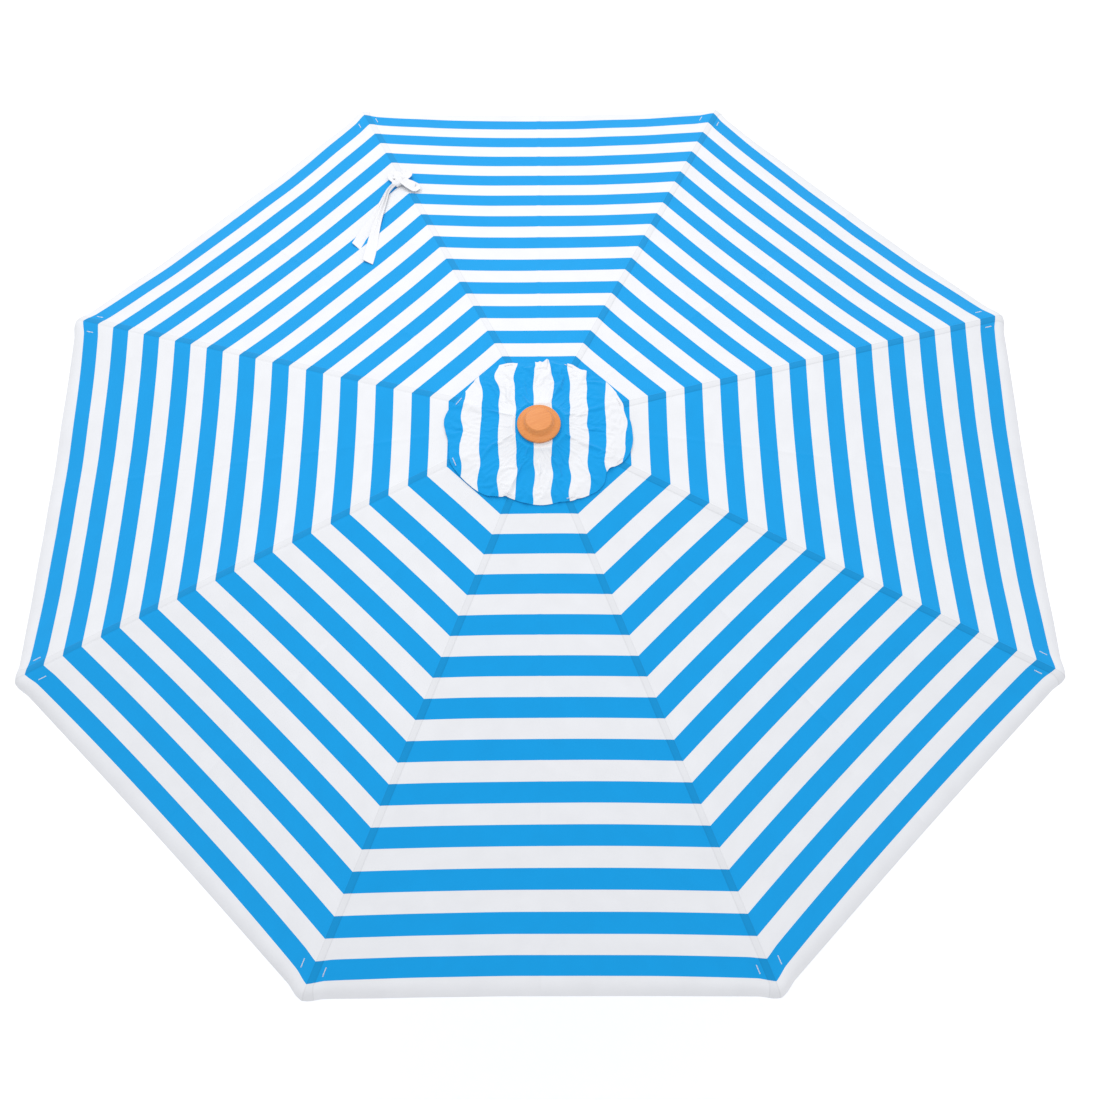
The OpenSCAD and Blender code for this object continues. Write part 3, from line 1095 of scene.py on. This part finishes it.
@dataclass
class VentCap:
    """The floppy round cap over the vent: eight sectors and the patch that the finial clamps."""

    canopy: Canopy
    finishes: Finishes
    inner: float = 26 * MM
    clamp: float = 46 * MM
    reach_x: float = 184 * MM
    reach_y: float = 163 * MM
    top: float = -14.4 * MM
    stripe: float = 35.6 * MM
    first_white: float = -10 * MM
    thickness: float = 0.7 * MM
    rings: int = 40
    spokes: int = 24 * RIBS
    growth: float = 0.055
    tack_at: float = 0.955
    tack_length: float = 17 * MM
    flat: tuple[float, float] = (140 * MM, 160 * MM)
    closed_share: float = 0.7
    frames: int = 30

    def rim(self, turn: float) -> float:
        """The cap's radius in a direction: an oval with a wavy edge.

        Args:
            turn: The direction, in radians from +X.

        Returns:
            The radius.
        """
        x, y = math.cos(turn) / self.reach_x, math.sin(turn) / self.reach_y
        wave = noise.noise(Vector((math.cos(turn) * 2.6, math.sin(turn) * 2.6, 9.0)))
        off = (turn + 0.6 + math.pi) % math.tau - math.pi
        tuck = 17 * MM * math.exp(-((off / 0.16) ** 2))
        return 1 / math.hypot(x, y) + 9 * MM * wave + 1.5 * MM * math.cos(8 * turn + 0.5) - tuck

    def ground(self, x: float, y: float) -> float:
        """Height of the canopy's upper face under a point.

        Args:
            x: The point's x.
            y: The point's y.

        Returns:
            The height.
        """
        turn = math.atan2(y, x)
        rib = int(round((turn - HALF_STEP) / STEP)) % RIBS + 1
        off = (turn - azimuth(rib) + math.pi) % math.tau - math.pi
        slope = self.canopy.slope
        along = math.hypot(x, y) * math.cos(HALF_STEP - abs(off)) / math.cos(slope) / math.cos(HALF_STEP)
        return self.canopy.apex_z + self.canopy.lift - along * math.sin(slope)

    def loose_point(self, share: float, turn: float) -> Vector:
        """A point of the cap before it is draped: share runs from 0 under the finial to 1 at the edge.

        Args:
            share: The place between the middle and the edge.
            turn: The direction, in radians from +X.

        Returns:
            The point.
        """
        radius = self.inner + (self.rim(turn) - self.inner) * share
        x, y = radius * math.cos(turn), radius * math.sin(turn)
        top = self.canopy.apex_z + self.top
        ground = self.ground(x, y) + 7 * MM
        height = top + (ground - top) * smooth(radius, self.clamp, 175 * MM)
        loose = smooth(radius, self.clamp, 110 * MM)
        long_fold = noise.noise(Vector((x / 0.034, y / 0.12, 1.7)))
        broad = noise.noise(Vector((x / 0.07, y / 0.06, 5.1)))
        crease = 1 - 2 * abs(noise.noise(Vector((x / 0.05 + y / 0.09, y / 0.06 - x / 0.1, 8.8))))
        height += loose * (5.0 * long_fold + 5.0 * broad + 3.0 * crease) * MM
        height = max(height, self.ground(x, y) + 3 * MM)
        sway = loose * 5 * MM * noise.noise(Vector((x / 0.07, y / 0.055, 12.0)))
        return Vector((x + sway, y + 0.5 * sway, height))

    def loose_net(self) -> np.ndarray:
        """The whole cap as rings of points, from the inside out.

        Returns:
            An array of rings, spokes and coordinates.
        """
        turns = [math.tau * i / self.spokes for i in range(self.spokes)]
        shares = [i / (self.rings - 1) for i in range(self.rings)]
        return np.array([[tuple(self.loose_point(share, turn)) for turn in turns] for share in shares])

    def stand(self) -> bpy.types.Object:
        """Makes what the cap falls on: the canopy's panels, a slack slope inside the vent, and the hub.

        Returns:
            The stand, with a collision modifier.
        """
        slope, vent = math.tan(self.canopy.slope), self.canopy.vent * math.cos(self.canopy.slope)
        face = self.canopy.apex_z + self.canopy.lift
        hub_top = self.canopy.apex_z + self.top - 1.5 * MM
        rings = [
            (340 * MM, face - 340 * MM * slope), (vent, face - vent * slope),
            (100 * MM, face - vent * slope + 3 * MM), (42 * MM, hub_top), (1 * MM, hub_top),
        ]
        parts = []
        for (outer, low), (inner, high) in zip(rings, rings[1:]):
            clear_selection()
            bpy.ops.mesh.primitive_cone_add(
                vertices=RIBS, radius1=outer, radius2=inner, depth=high - low, end_fill_type="NOTHING",
                location=(0, 0, (low + high) / 2), rotation=(0, 0, HALF_STEP),
            )
            parts.append(bpy.context.object)
        stand = join(parts, "cap_stand")
        face_outwards(stand)
        stand.modifiers.new("collision", "COLLISION")
        stand.collision.thickness_outer = 2 * MM
        stand.collision.use_culling = False
        stand.collision.cloth_friction = 20
        return stand

    def draped_net(self) -> np.ndarray:
        """Lets the cap grow a little and fall on the canopy, clamped at its middle.

        Returns:
            Its points, in the same rings as the loose net.
        """
        net = self.loose_net()
        count = self.spokes
        faces = []
        for ring in range(self.rings - 1):
            for spoke in range(count):
                ahead = (spoke + 1) % count
                near, far = ring * count, (ring + 1) * count
                faces.append((near + spoke, far + spoke, far + ahead, near + ahead))
        mesh = bpy.data.meshes.new("cap_net")
        mesh.from_pydata(net.reshape(-1, 3).tolist(), [], faces)
        sheet = bpy.data.objects.new("cap_net", mesh)
        bpy.context.scene.collection.objects.link(sheet)
        held = sheet.vertex_groups.new(name="held")
        slack = sheet.vertex_groups.new(name="slack")
        for i, radius in enumerate(np.hypot(net[..., 0], net[..., 1]).reshape(-1)):
            if radius < self.clamp:
                held.add([i], 1.0, "REPLACE")
            slack.add([i], smooth(radius, self.clamp, 120 * MM), "REPLACE")
        cloth = sheet.modifiers.new("cloth", "CLOTH")
        cloth.settings.vertex_group_mass = "held"
        cloth.settings.quality = 8
        cloth.settings.mass = 0.04
        cloth.settings.tension_stiffness = 30
        cloth.settings.compression_stiffness = 30
        cloth.settings.shear_stiffness = 5
        cloth.settings.bending_stiffness = 1.5
        cloth.settings.vertex_group_shrink = "slack"
        cloth.settings.shrink_min, cloth.settings.shrink_max = 0, -self.growth
        cloth.collision_settings.distance_min = 1 * MM
        cloth.collision_settings.collision_quality = 4
        stand = self.stand()
        scene = bpy.context.scene
        for frame in range(1, self.frames + 1):
            scene.frame_set(frame)
        shaped = sheet.evaluated_get(bpy.context.evaluated_depsgraph_get()).to_mesh()
        points = np.empty(len(shaped.vertices) * 3)
        shaped.vertices.foreach_get("co", points)
        for obj in (sheet, stand):
            bpy.data.objects.remove(obj)
        scene.frame_set(1)
        draped = points.reshape(net.shape)
        flange = self.canopy.apex_z + self.top + 1.2 * MM
        room = np.maximum(np.hypot(draped[..., 0], draped[..., 1]) - self.clamp, 0)
        draped[..., 2] = np.minimum(draped[..., 2], flange + 0.3 * room)
        return draped

    def sample(self, net: np.ndarray, ring: float, spoke: float) -> Vector:
        """Reads the net between its points, on a smooth curve through four rings and four spokes.

        Args:
            net: The draped points.
            ring: The place among the rings.
            spoke: The place among the spokes.

        Returns:
            The point there.
        """

        def weights(t: float) -> np.ndarray:
            """Shares of four points in a row, for a place between the middle two.

            Args:
                t: The place between the middle two, from 0 to 1.

            Returns:
                The four shares.
            """
            return 0.5 * np.array(
                [-t + 2 * t**2 - t**3, 2 - 5 * t**2 + 3 * t**3, t + 4 * t**2 - 3 * t**3, -(t**2) + t**3]
            )

        r0 = min(int(ring), self.rings - 2)
        s0 = math.floor(spoke)
        rows = [min(max(r0 + i, 0), self.rings - 1) for i in (-1, 0, 1, 2)]
        cols = [(s0 + i) % self.spokes for i in (-1, 0, 1, 2)]
        patch = net[np.ix_(rows, cols)]
        return Vector(np.einsum("r,c,rcx->x", weights(ring - r0), weights(spoke - s0), patch))

    def sector(self, rib: int, net: np.ndarray) -> bpy.types.Object:
        """Makes the part of the cap over one rib.

        Args:
            rib: The number of the rib under it.
            net: The draped points.

        Returns:
            The cloth, with its thickness.
        """
        rows, columns = 90, 65
        per_sector = self.spokes / RIBS

        def place(row: int, column: int) -> tuple[Vector, tuple[float, float]]:
            """Gives a corner of the sector and its place on the flat cloth.

            Args:
                row: Which row of corners.
                column: Which corner in the row.

            Returns:
                Its point, and its place on the flat cloth.
            """
            part = column / (columns - 1)
            eased = part - 0.11 * math.sin(math.tau * part)
            spoke = per_sector * (rib - 1 + eased)
            share = row / (rows - 1)
            turn = math.tau * spoke / self.spokes
            radius = self.inner + (self.rim(turn) - self.inner) * share
            x, y = radius * math.cos(turn), radius * math.sin(turn)
            wander = 9 * MM * noise.noise(Vector((x / 0.09, y / 0.05, 21.0)))
            bias = smooth(radius, self.clamp, 110 * MM) * wander
            return self.sample(net, share * (self.rings - 1), spoke), (x + bias, y)

        cloth = cloth_grid(f"vent_cap_cloth_{rib}", rows, columns, place)
        thicken(cloth, self.thickness)
        return cloth

    def bar_tack(self, rib: int, net: np.ndarray) -> bpy.types.Object:
        """Makes the bar tack that holds the cap's edge down over a rib, along the edge.

        Args:
            rib: The number of the rib under it.
            net: The draped points.

        Returns:
            The bar tack.
        """
        ring, spoke = self.tack_at * (self.rings - 1), self.spokes / RIBS * (rib - 0.5)
        here = self.sample(net, ring, spoke)
        along = (self.sample(net, ring, spoke + 1) - self.sample(net, ring, spoke - 1)).normalized()
        outward = self.sample(net, ring + 0.7, spoke) - here
        up = outward.cross(along).normalized()
        base = Matrix((along, up.cross(along), up)).transposed().to_4x4()
        base.translation = here + up * 0.3 * MM
        return bar_tack(f"cap_tack_{rib}", [base], self.tack_length)

    def patch(self) -> bpy.types.Object:
        """Makes the small round patch under the finial.

        Returns:
            The patch.
        """
        low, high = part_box("vent_cap_patch")
        radius, z0, z1 = high.x, low.z, high.z
        middle = (z0 + z1) / 2
        patch = turned(
            "vent_cap_patch_cloth",
            [(radius - 0.4 * MM, z0), (radius, z0 + 0.3 * MM), (radius, middle), (radius - 0.4 * MM, z1)],
        )
        uv = patch.data.uv_layers.new(name="cloth")
        for loop in patch.data.loops:
            uv.data[loop.index].uv = patch.data.vertices[loop.vertex_index].co.xy
        return patch

    def build(self) -> None:
        """Makes and dresses the cap."""
        look = self.finishes.cloth.material(
            "striped_canvas_cap", Run.ACROSS, self.first_white, self.stripe
        )
        net = self.draped_net()
        for rib in range(1, RIBS + 1):
            body = f"rib_{rib}"
            cloth = self.sector(rib, net)
            dress(cloth, look, body, "canopy_cloth", f"vent_cap_{rib}")
            tack = self.bar_tack(rib, net)
            dress(tack, self.finishes["bleached_cotton_tape"], body, "white_tape")
            gather((cloth, tack))
        patch = self.patch()
        dress(patch, look, "mast", "canopy_cloth", "vent_cap_patch")
        LOG.info("vent cap: eight sectors and a patch")


@dataclass
class Tie:
    """The white strap, knotted over one rib, with two tails that lie on the cloth."""

    canopy: Canopy
    finishes: Finishes
    rib: int = 3
    knot_at: tuple[float, float] = (821 * MM, 2 * MM)
    neck_at: tuple[float, float] = (826 * MM, 41 * MM)
    width: float = 26 * MM
    thickness: float = 0.9 * MM
    # The two tails and the three loops, cut from one strap with slanted ends
    flat_lengths: tuple[float, ...] = (196 * MM, 234 * MM, 85 * MM, 100 * MM, 92 * MM)
    cut_share: float = 0.95

    def ribbon(
        self, name: str, path: Callable[[float], tuple[float, float, float]],
        width: Callable[[float], float], length: float, rows: int = 56,
    ) -> bpy.types.Object:
        """Makes a strap that follows a path over the cloth.

        Args:
            name: The piece's name.
            path: Gives along, across and height above the cloth, for a share of the length.
            width: Gives the strap's width there.
            length: The strap's length, for its weave.
            rows: Corners along the strap.

        Returns:
            The strap, with its thickness.
        """
        columns = 9

        def centre(share: float) -> Vector:
            """A point of the strap's middle line.

            Args:
                share: The share of the length.

            Returns:
                The point.
            """
            along, across, height = path(share)
            spot = self.canopy.point(self.rib, along, across)
            spot.z += height
            return spot

        def place(row: int, column: int) -> tuple[Vector, tuple[float, float]]:
            """Gives a corner of the strap and its place on the flat strap.

            Args:
                row: Which row of corners.
                column: Which corner in the row.

            Returns:
                Its point, and its place on the flat strap.
            """
            share = row / (rows - 1)
            here = centre(share)
            ahead = centre(min(1.0, share + 0.01)) - centre(max(0.0, share - 0.01))
            ahead.normalize()
            sideways = Vector((0, 0, 1)).cross(ahead).normalized()
            offset = (column / (columns - 1) - 0.5) * width(share)
            gathered = max(0.0, 1 - width(share) / self.width)
            fold = 2.6 * MM * gathered * (1 + math.cos(3.5 * math.tau * (column / (columns - 1) - 0.5)))
            curl = 1.0 * MM * (2 * column / (columns - 1) - 1) ** 2 * (1 + math.sin(5 * share + 1))
            slant = 0.5 * offset * smooth(share, 0.9, 1.0)
            spot = here + sideways * offset + ahead * slant + Vector((0, 0, fold + curl))
            return spot, (share * length, (column / (columns - 1) - 0.5) * self.width)

        strap = cloth_grid(name, rows, columns, place)
        thicken(strap, self.thickness)
        return strap

    def tail(
        self, name: str, end: tuple[float, float], full: float, height: float, bend: float
    ) -> bpy.types.Object:
        """Makes one tail of the strap, gathered at its neck and opening out.

        Args:
            name: The piece's name.
            end: Where its end lies, along and across.
            full: Its width at the end.
            height: Its height above the cloth.
            bend: How far it bows to one side.

        Returns:
            The tail.
        """
        first = math.dist(self.knot_at, self.neck_at)
        length = first + math.dist(self.neck_at, end)
        heading = math.atan2(end[1] - self.neck_at[1], end[0] - self.neck_at[0])

        def corner_line(run: float) -> tuple[float, float]:
            """A point of the line from the knot to the neck and on to the end.

            Args:
                run: The distance from the knot along the line.

            Returns:
                Its distances along and across.
            """
            start, stop, at = (self.knot_at, self.neck_at, run / first)
            if run > first:
                start, stop, at = (self.neck_at, end, (run - first) / (length - first))
            return tuple(a + (b - a) * at for a, b in zip(start, stop))

        def path(share: float) -> tuple[float, float, float]:
            """The tail's middle line, rounded at the neck and bowed to one side.

            Args:
                share: The share of the length.

            Returns:
                Along, across, and the height above the cloth.
            """
            near = [corner_line(min(length, max(0.0, share * length + i * 4 * MM))) for i in range(-3, 4)]
            along, across = (sum(p[axis] for p in near) / len(near) for axis in (0, 1))
            side = bend * math.sin(math.pi * smooth(share, 0.2, 1.0))
            rise = height + 5 * MM * (1 - smooth(share, 0.05, 0.35))
            rise += 1.2 * MM * math.sin(9 * share + height * 900)
            return along - side * math.sin(heading), across + side * math.cos(heading), max(2 * MM, rise)

        def width(share: float) -> float:
            """Narrow at the neck and full at the end."""
            return full * (0.3 + 0.7 * smooth(share, 0.22, 0.95) ** 0.8)

        return self.ribbon(name, path, width, length)

    def lobe(self, name: str, heading: float, reach: float, rise: float) -> bpy.types.Object:
        """Makes one soft loop of the knot.

        Args:
            name: The piece's name.
            heading: Its direction on the cloth, from outwards.
            reach: How far it reaches.
            rise: How high it lies.

        Returns:
            The loop.
        """

        def path(share: float) -> tuple[float, float, float]:
            """Out from the knot along the cloth and back over itself.

            Args:
                share: The share of the length.

            Returns:
                Along, across, and the height above the cloth.
            """
            turn = math.tau * share
            out = reach * (1 - math.cos(turn)) / 2
            side = 4 * MM * math.sin(turn)
            along = self.knot_at[0] + out * math.cos(heading) - side * math.sin(heading)
            across = self.knot_at[1] + out * math.sin(heading) + side * math.cos(heading)
            height = 3 * MM + rise * smooth(share, 0.1, 0.75) * (1 - 0.4 * smooth(share, 0.8, 1))
            return along, across, height

        def width(share: float) -> float:
            """Pinched in the knot and wide round the loop."""
            return self.width * (0.4 + 0.55 * math.sin(math.pi * share))

        return self.ribbon(name, path, width, 2 * reach, rows=44)

    def knot(self) -> bpy.types.Object:
        """Makes the wrapped middle of the knot.

        Returns:
            The knot.
        """
        clear_selection()
        bpy.ops.mesh.primitive_uv_sphere_add(segments=48, ring_count=28, radius=1)
        knot = bpy.context.object
        for vertex in knot.data.vertices:
            x, y, z = vertex.co
            pleat = 1 + 0.07 * math.sin(9 * y + 3 * x) + 0.14 * noise.noise(vertex.co * 1.7)
            vertex.co = Vector((x * 11 * pleat, y * 14 * pleat, z * 7 * pleat)) * MM
        along, across = self.knot_at
        knot.matrix_world = self.canopy.cloth_axes(self.rib, along, across + 8 * MM) @ Matrix.Translation(
            (0, 0, 7.5 * MM)
        )
        knot = settle(knot, "tie_knot")
        uv = knot.data.uv_layers[0]
        uv.name = "cloth"
        for item in uv.data:
            item.uv = (item.uv[0] * 0.09, item.uv[1] * 0.04)
        for polygon in knot.data.polygons:
            polygon.use_smooth = True
        return knot

    def build(self) -> None:
        """Makes and dresses the tie."""
        tails = [
            self.tail("tie_tail_a", (741 * MM, 173 * MM), 31 * MM, 1.5 * MM, 5 * MM),
            self.tail("tie_tail_b", (677 * MM, 167 * MM), 25 * MM, 4.0 * MM, -5 * MM),
        ]
        lobes = [
            self.lobe("tie_loop_a", math.radians(-38), 31 * MM, 8 * MM),
            self.lobe("tie_loop_b", math.radians(-145), 37 * MM, 9 * MM),
            self.lobe("tie_loop_c", math.radians(20), 34 * MM, 6 * MM),
        ]
        knot = self.knot()
        for piece in (*tails, *lobes, knot):
            dress(piece, self.finishes["bleached_cotton_tape"], f"rib_{self.rib}", "white_tape")
        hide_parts("tie_strap")
        gather(tails)
        LOG.info("tie: a knot, three loops and two tails")


# ---- Frame and pole ------------------------------------------------------------------------------


@dataclass
class Finial:
    """The turned knob that clamps the vent cap."""

    finishes: Finishes
    body: str = "finial"

    def build(self) -> None:
        """Turns the knob to the CAD finial's size and dresses it."""
        low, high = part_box("finial")
        base, radius = low.z, high.x
        boss = high.z - 1.0 * MM
        profile = [
            (radius - 4 * MM, base), (radius - 1.2 * MM, base + 0.4 * MM), (radius, base + 2 * MM),
            (radius + 0.2 * MM, base + 4 * MM), (radius - 0.4 * MM, base + 5.6 * MM),
            (radius - 2 * MM, base + 6.8 * MM), (34.5 * MM, base + 8.6 * MM), (31 * MM, base + 10 * MM),
            (29.4 * MM, base + 11.6 * MM), (26.4 * MM, boss - 2.4 * MM), (25.6 * MM, boss - 1.0 * MM),
            (24.2 * MM, boss), (16 * MM, boss + 0.5 * MM), (4 * MM, boss + 0.8 * MM),
        ]
        knob = turned("finial_knob", profile, sides=96)
        bpy.ops.object.shade_smooth_by_angle(angle=math.radians(30))
        grain_map(knob, Vector((0.03, 0.02, base)), Vector((0.94, 0.34, 0)), Vector((0, 0, 1)))
        dress(knob, self.finishes["stained_beech_turnings"], self.body, "turned_wood", "finial")
        LOG.info("finial: %d faces", len(knob.data.polygons))


@dataclass
class Pole:
    """The two-part pole with its ferrule, screws and sand tip."""

    frame: dict
    finishes: Finishes

    def stick(self, node: str, name: str, body: str) -> None:
        """Turns one part of the pole to its CAD size, with eased ends.

        Args:
            node: The CAD node that gives its size.
            name: The piece's name.
            body: The body that it rides on.
        """
        low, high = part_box(node)
        radius, ease = high.x, 1.5 * MM
        profile = [
            (radius - ease, low.z), (radius, low.z + ease), (radius, high.z - ease), (radius - ease, high.z)
        ]
        stick = turned(name, profile, sides=72)
        bpy.ops.object.shade_smooth_by_angle(angle=math.radians(30))
        grain_map(stick, Vector((0.006, 0.004, 0)), Vector((0, 0, 1)), Vector((1, 0, 0)))
        dress(stick, self.finishes["varnished_ash_pole"], body, "pole_wood", node)

    def ferrule(self) -> None:
        """Makes the metal sleeve between the pole's parts, with a rolled lip."""
        low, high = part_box("ferrule")
        lip = high.x
        outer = lip - 1.5 * MM
        profile = [
            (outer - 0.4 * MM, low.z), (outer, low.z + 0.6 * MM), (outer, high.z - 5 * MM),
            (lip - 0.5 * MM, high.z - 3.6 * MM), (lip, high.z - 2.4 * MM),
            (lip - 0.5 * MM, high.z - 1 * MM), (outer - 0.3 * MM, high.z),
        ]
        sleeve = turned("ferrule_sleeve", profile, sides=72)
        bpy.ops.object.shade_smooth_by_angle(angle=math.radians(50))
        dress(sleeve, self.finishes["zinc_plated_steel"], "lower_pole", "steel", "ferrule")

    def build(self) -> None:
        """Makes and dresses the pole."""
        self.stick("lower_pole", "lower_pole_wood", "lower_pole")
        self.stick("upper_pole", "upper_pole_wood", "mast")
        self.ferrule()
        low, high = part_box("sand_tip")
        body = high.x
        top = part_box("lower_pole")[0].z
        tip = turned(
            "sand_tip_point",
            [
                (5 * MM, low.z), (6.6 * MM, low.z + 0.8 * MM), (7.4 * MM, low.z + 2.6 * MM),
                (body - 1.2 * MM, top - 7 * MM), (body - 0.3 * MM, top - 4 * MM), (body, top - 2.5 * MM),
                (body, top),
            ],
        )
        bpy.ops.object.shade_smooth_by_angle(angle=math.radians(40))
        dress(tip, self.finishes["black_nylon_tip"], "lower_pole", "sand_tip_plastic", "sand_tip")
        paint(self.frame, self.finishes["zinc_plated_steel"], "ferrule_screws")
        LOG.info("pole: two sticks, ferrule and sand tip")


@dataclass
class FoldingFrame:
    """The hub, the ribs with their fittings, the stretchers and the runner."""

    frame: dict
    finishes: Finishes
    edge: float = 0.8 * MM

    def slats(self) -> None:
        """Makes the ribs and stretchers with eased edges and grain along their length."""
        joints = {j["name"]: j for j in self.frame["joints"]}
        for rib in range(1, RIBS + 1):
            pin = Vector(joints[f"rib_{rib}_fold"]["pos_m"])
            bracket = Vector(joints[f"stretcher_{rib}_fold"]["pos_m"])
            tangent = Vector(joints[f"rib_{rib}_fold"]["axis"])
            down = bracket - pin
            up = Vector((down.x, down.y, -down.z))
            for kind, along in (("rib", down), ("stretcher", up)):
                node = f"{kind}_{rib}"
                slat = copy_of_node(self.frame, node, f"{kind}_slat_{rib}", self.edge)
                grain_map(slat, pin + Vector((0, 0, 0.01 * rib)), along.normalized(), tangent)
                dress(slat, self.finishes["varnished_ash_slats"], node, "rib_wood", node)

    def build(self) -> None:
        """Makes and dresses the folding frame."""
        self.slats()
        for node, name, body in (("hub", "top_hub", "mast"), ("runner", "sliding_runner", "runner")):
            block = copy_of_node(self.frame, node, name, 0.6 * MM)
            base = Vector((0.01, 0.03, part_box(node)[0].z))
            grain_map(block, base, Vector((0, 0, 1)), Vector((1, 0, 0)))
            dress(block, self.finishes["stained_beech_turnings"], body, "turned_wood", node)
        fittings = [f"rib_hardware_{rib}" for rib in range(1, RIBS + 1)]
        steel = ("hub_pins", "finial_stud", "runner_pins", *fittings)
        paint(self.frame, self.finishes["zinc_plated_steel"], *steel)
        paint(self.frame, self.finishes["polished_brass"], "cap_washer", "screw_insert", "thumbscrew")
        paint(self.frame, self.finishes["natural_nylon_bush"], "runner_bushing")
        dowel = copy_of_node(self.frame, "hub_dowel", "hub_dowel_peg", 0.4 * MM)
        grain_map(dowel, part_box("hub_dowel")[0], Vector((1, 0, 0)), Vector((0, 1, 0)))
        dress(dowel, self.finishes["varnished_ash_pole"], "mast", "pole_wood", "hub_dowel")
        LOG.info("folding frame: hub, %d ribs and stretchers, runner", RIBS)


# ---- Studio --------------------------------------------------------------------------------------


@dataclass
class Studio:
    """The camera, the pale floor and the soft lights."""

    apex_z: float
    target_x: float = 20.5 * MM
    target_drop: float = 557 * MM
    distance: float = 3.238
    elevation: float = math.radians(63.93)
    azimuth: float = math.radians(-0.17)
    roll: float = math.radians(-0.18)
    lens: float = 47.06

    def camera(self) -> None:
        """Puts the camera high in front of the umbrella, looking down on it."""
        data = bpy.data.cameras.new("camera")
        data.lens, data.sensor_width = self.lens, 36
        data.clip_start, data.clip_end = 0.05, 200
        camera = bpy.data.objects.new("camera", data)
        bpy.context.scene.collection.objects.link(camera)
        back = Vector(
            (
                math.sin(self.azimuth) * math.cos(self.elevation),
                -math.cos(self.azimuth) * math.cos(self.elevation),
                math.sin(self.elevation),
            )
        )
        target = Vector((self.target_x, 0, self.apex_z - self.target_drop))
        aim = (-back).to_track_quat("-Z", "Y").to_matrix().to_4x4()
        camera.matrix_world = Matrix.Translation(target + back * self.distance) @ aim @ Matrix.Rotation(
            self.roll, 4, "Z"
        )
        bpy.context.scene.camera = camera

    def area(self, name: str, place: tuple[float, float, float], size: float, power: float) -> None:
        """Adds a square soft light that faces the canopy.

        Args:
            name: The light's name.
            place: Where it is.
            size: The length of its side.
            power: Its power in watts.
        """
        data = bpy.data.lights.new(name, "AREA")
        data.shape, data.size, data.energy = "SQUARE", size, power
        lamp = bpy.data.objects.new(name, data)
        bpy.context.scene.collection.objects.link(lamp)
        spot = Vector(place)
        aim = Vector((0, 0, self.apex_z - 0.2)) - spot
        lamp.matrix_world = Matrix.Translation(spot) @ aim.to_track_quat("-Z", "Y").to_matrix().to_4x4()

    def build(self) -> None:
        """Makes the floor, the sky and the lights."""
        clear_selection()
        bpy.ops.mesh.primitive_plane_add(size=60, location=(0, 0, 0))
        floor = settle(bpy.context.object, "studio_floor")
        constants = {
            "Base Color": linear("f9f9f9"), "Roughness": 0.9,
            "Emission Color": linear("ffffff"), "Emission Strength": 0.35,
        }
        floor.data.materials.append(blank_material("pale_floor", constants)[0])
        world = bpy.data.worlds.new("soft_sky")
        world.use_nodes = True
        sky = world.node_tree.nodes["Background"]
        sky.inputs["Color"].default_value = linear("fbfcff")
        sky.inputs["Strength"].default_value = 0.72
        bpy.context.scene.world = world
        bpy.context.scene.view_settings.view_transform = "Standard"
        self.area("back_softbox", (-1.0, 2.8, self.apex_z + 3.0), 2.5, 54)
        self.area("top_softbox", (0.6, 0.2, self.apex_z + 4.0), 3.0, 43)


def main() -> None:
    """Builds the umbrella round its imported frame."""
    logging.basicConfig(level=logging.INFO, format="%(name)s: %(message)s")
    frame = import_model()
    apex_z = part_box("finial")[1].z - 10 * MM
    studio = Studio(apex_z)
    studio.camera()
    finishes = Finishes()
    canopy = Canopy(apex_z, finishes)
    canopy.build()
    VentCap(canopy, finishes).build()
    Tie(canopy, finishes).build()
    Finial(finishes).build()
    Pole(frame, finishes).build()
    FoldingFrame(frame, finishes).build()
    studio.build()


if __name__ == "__main__":
    main()
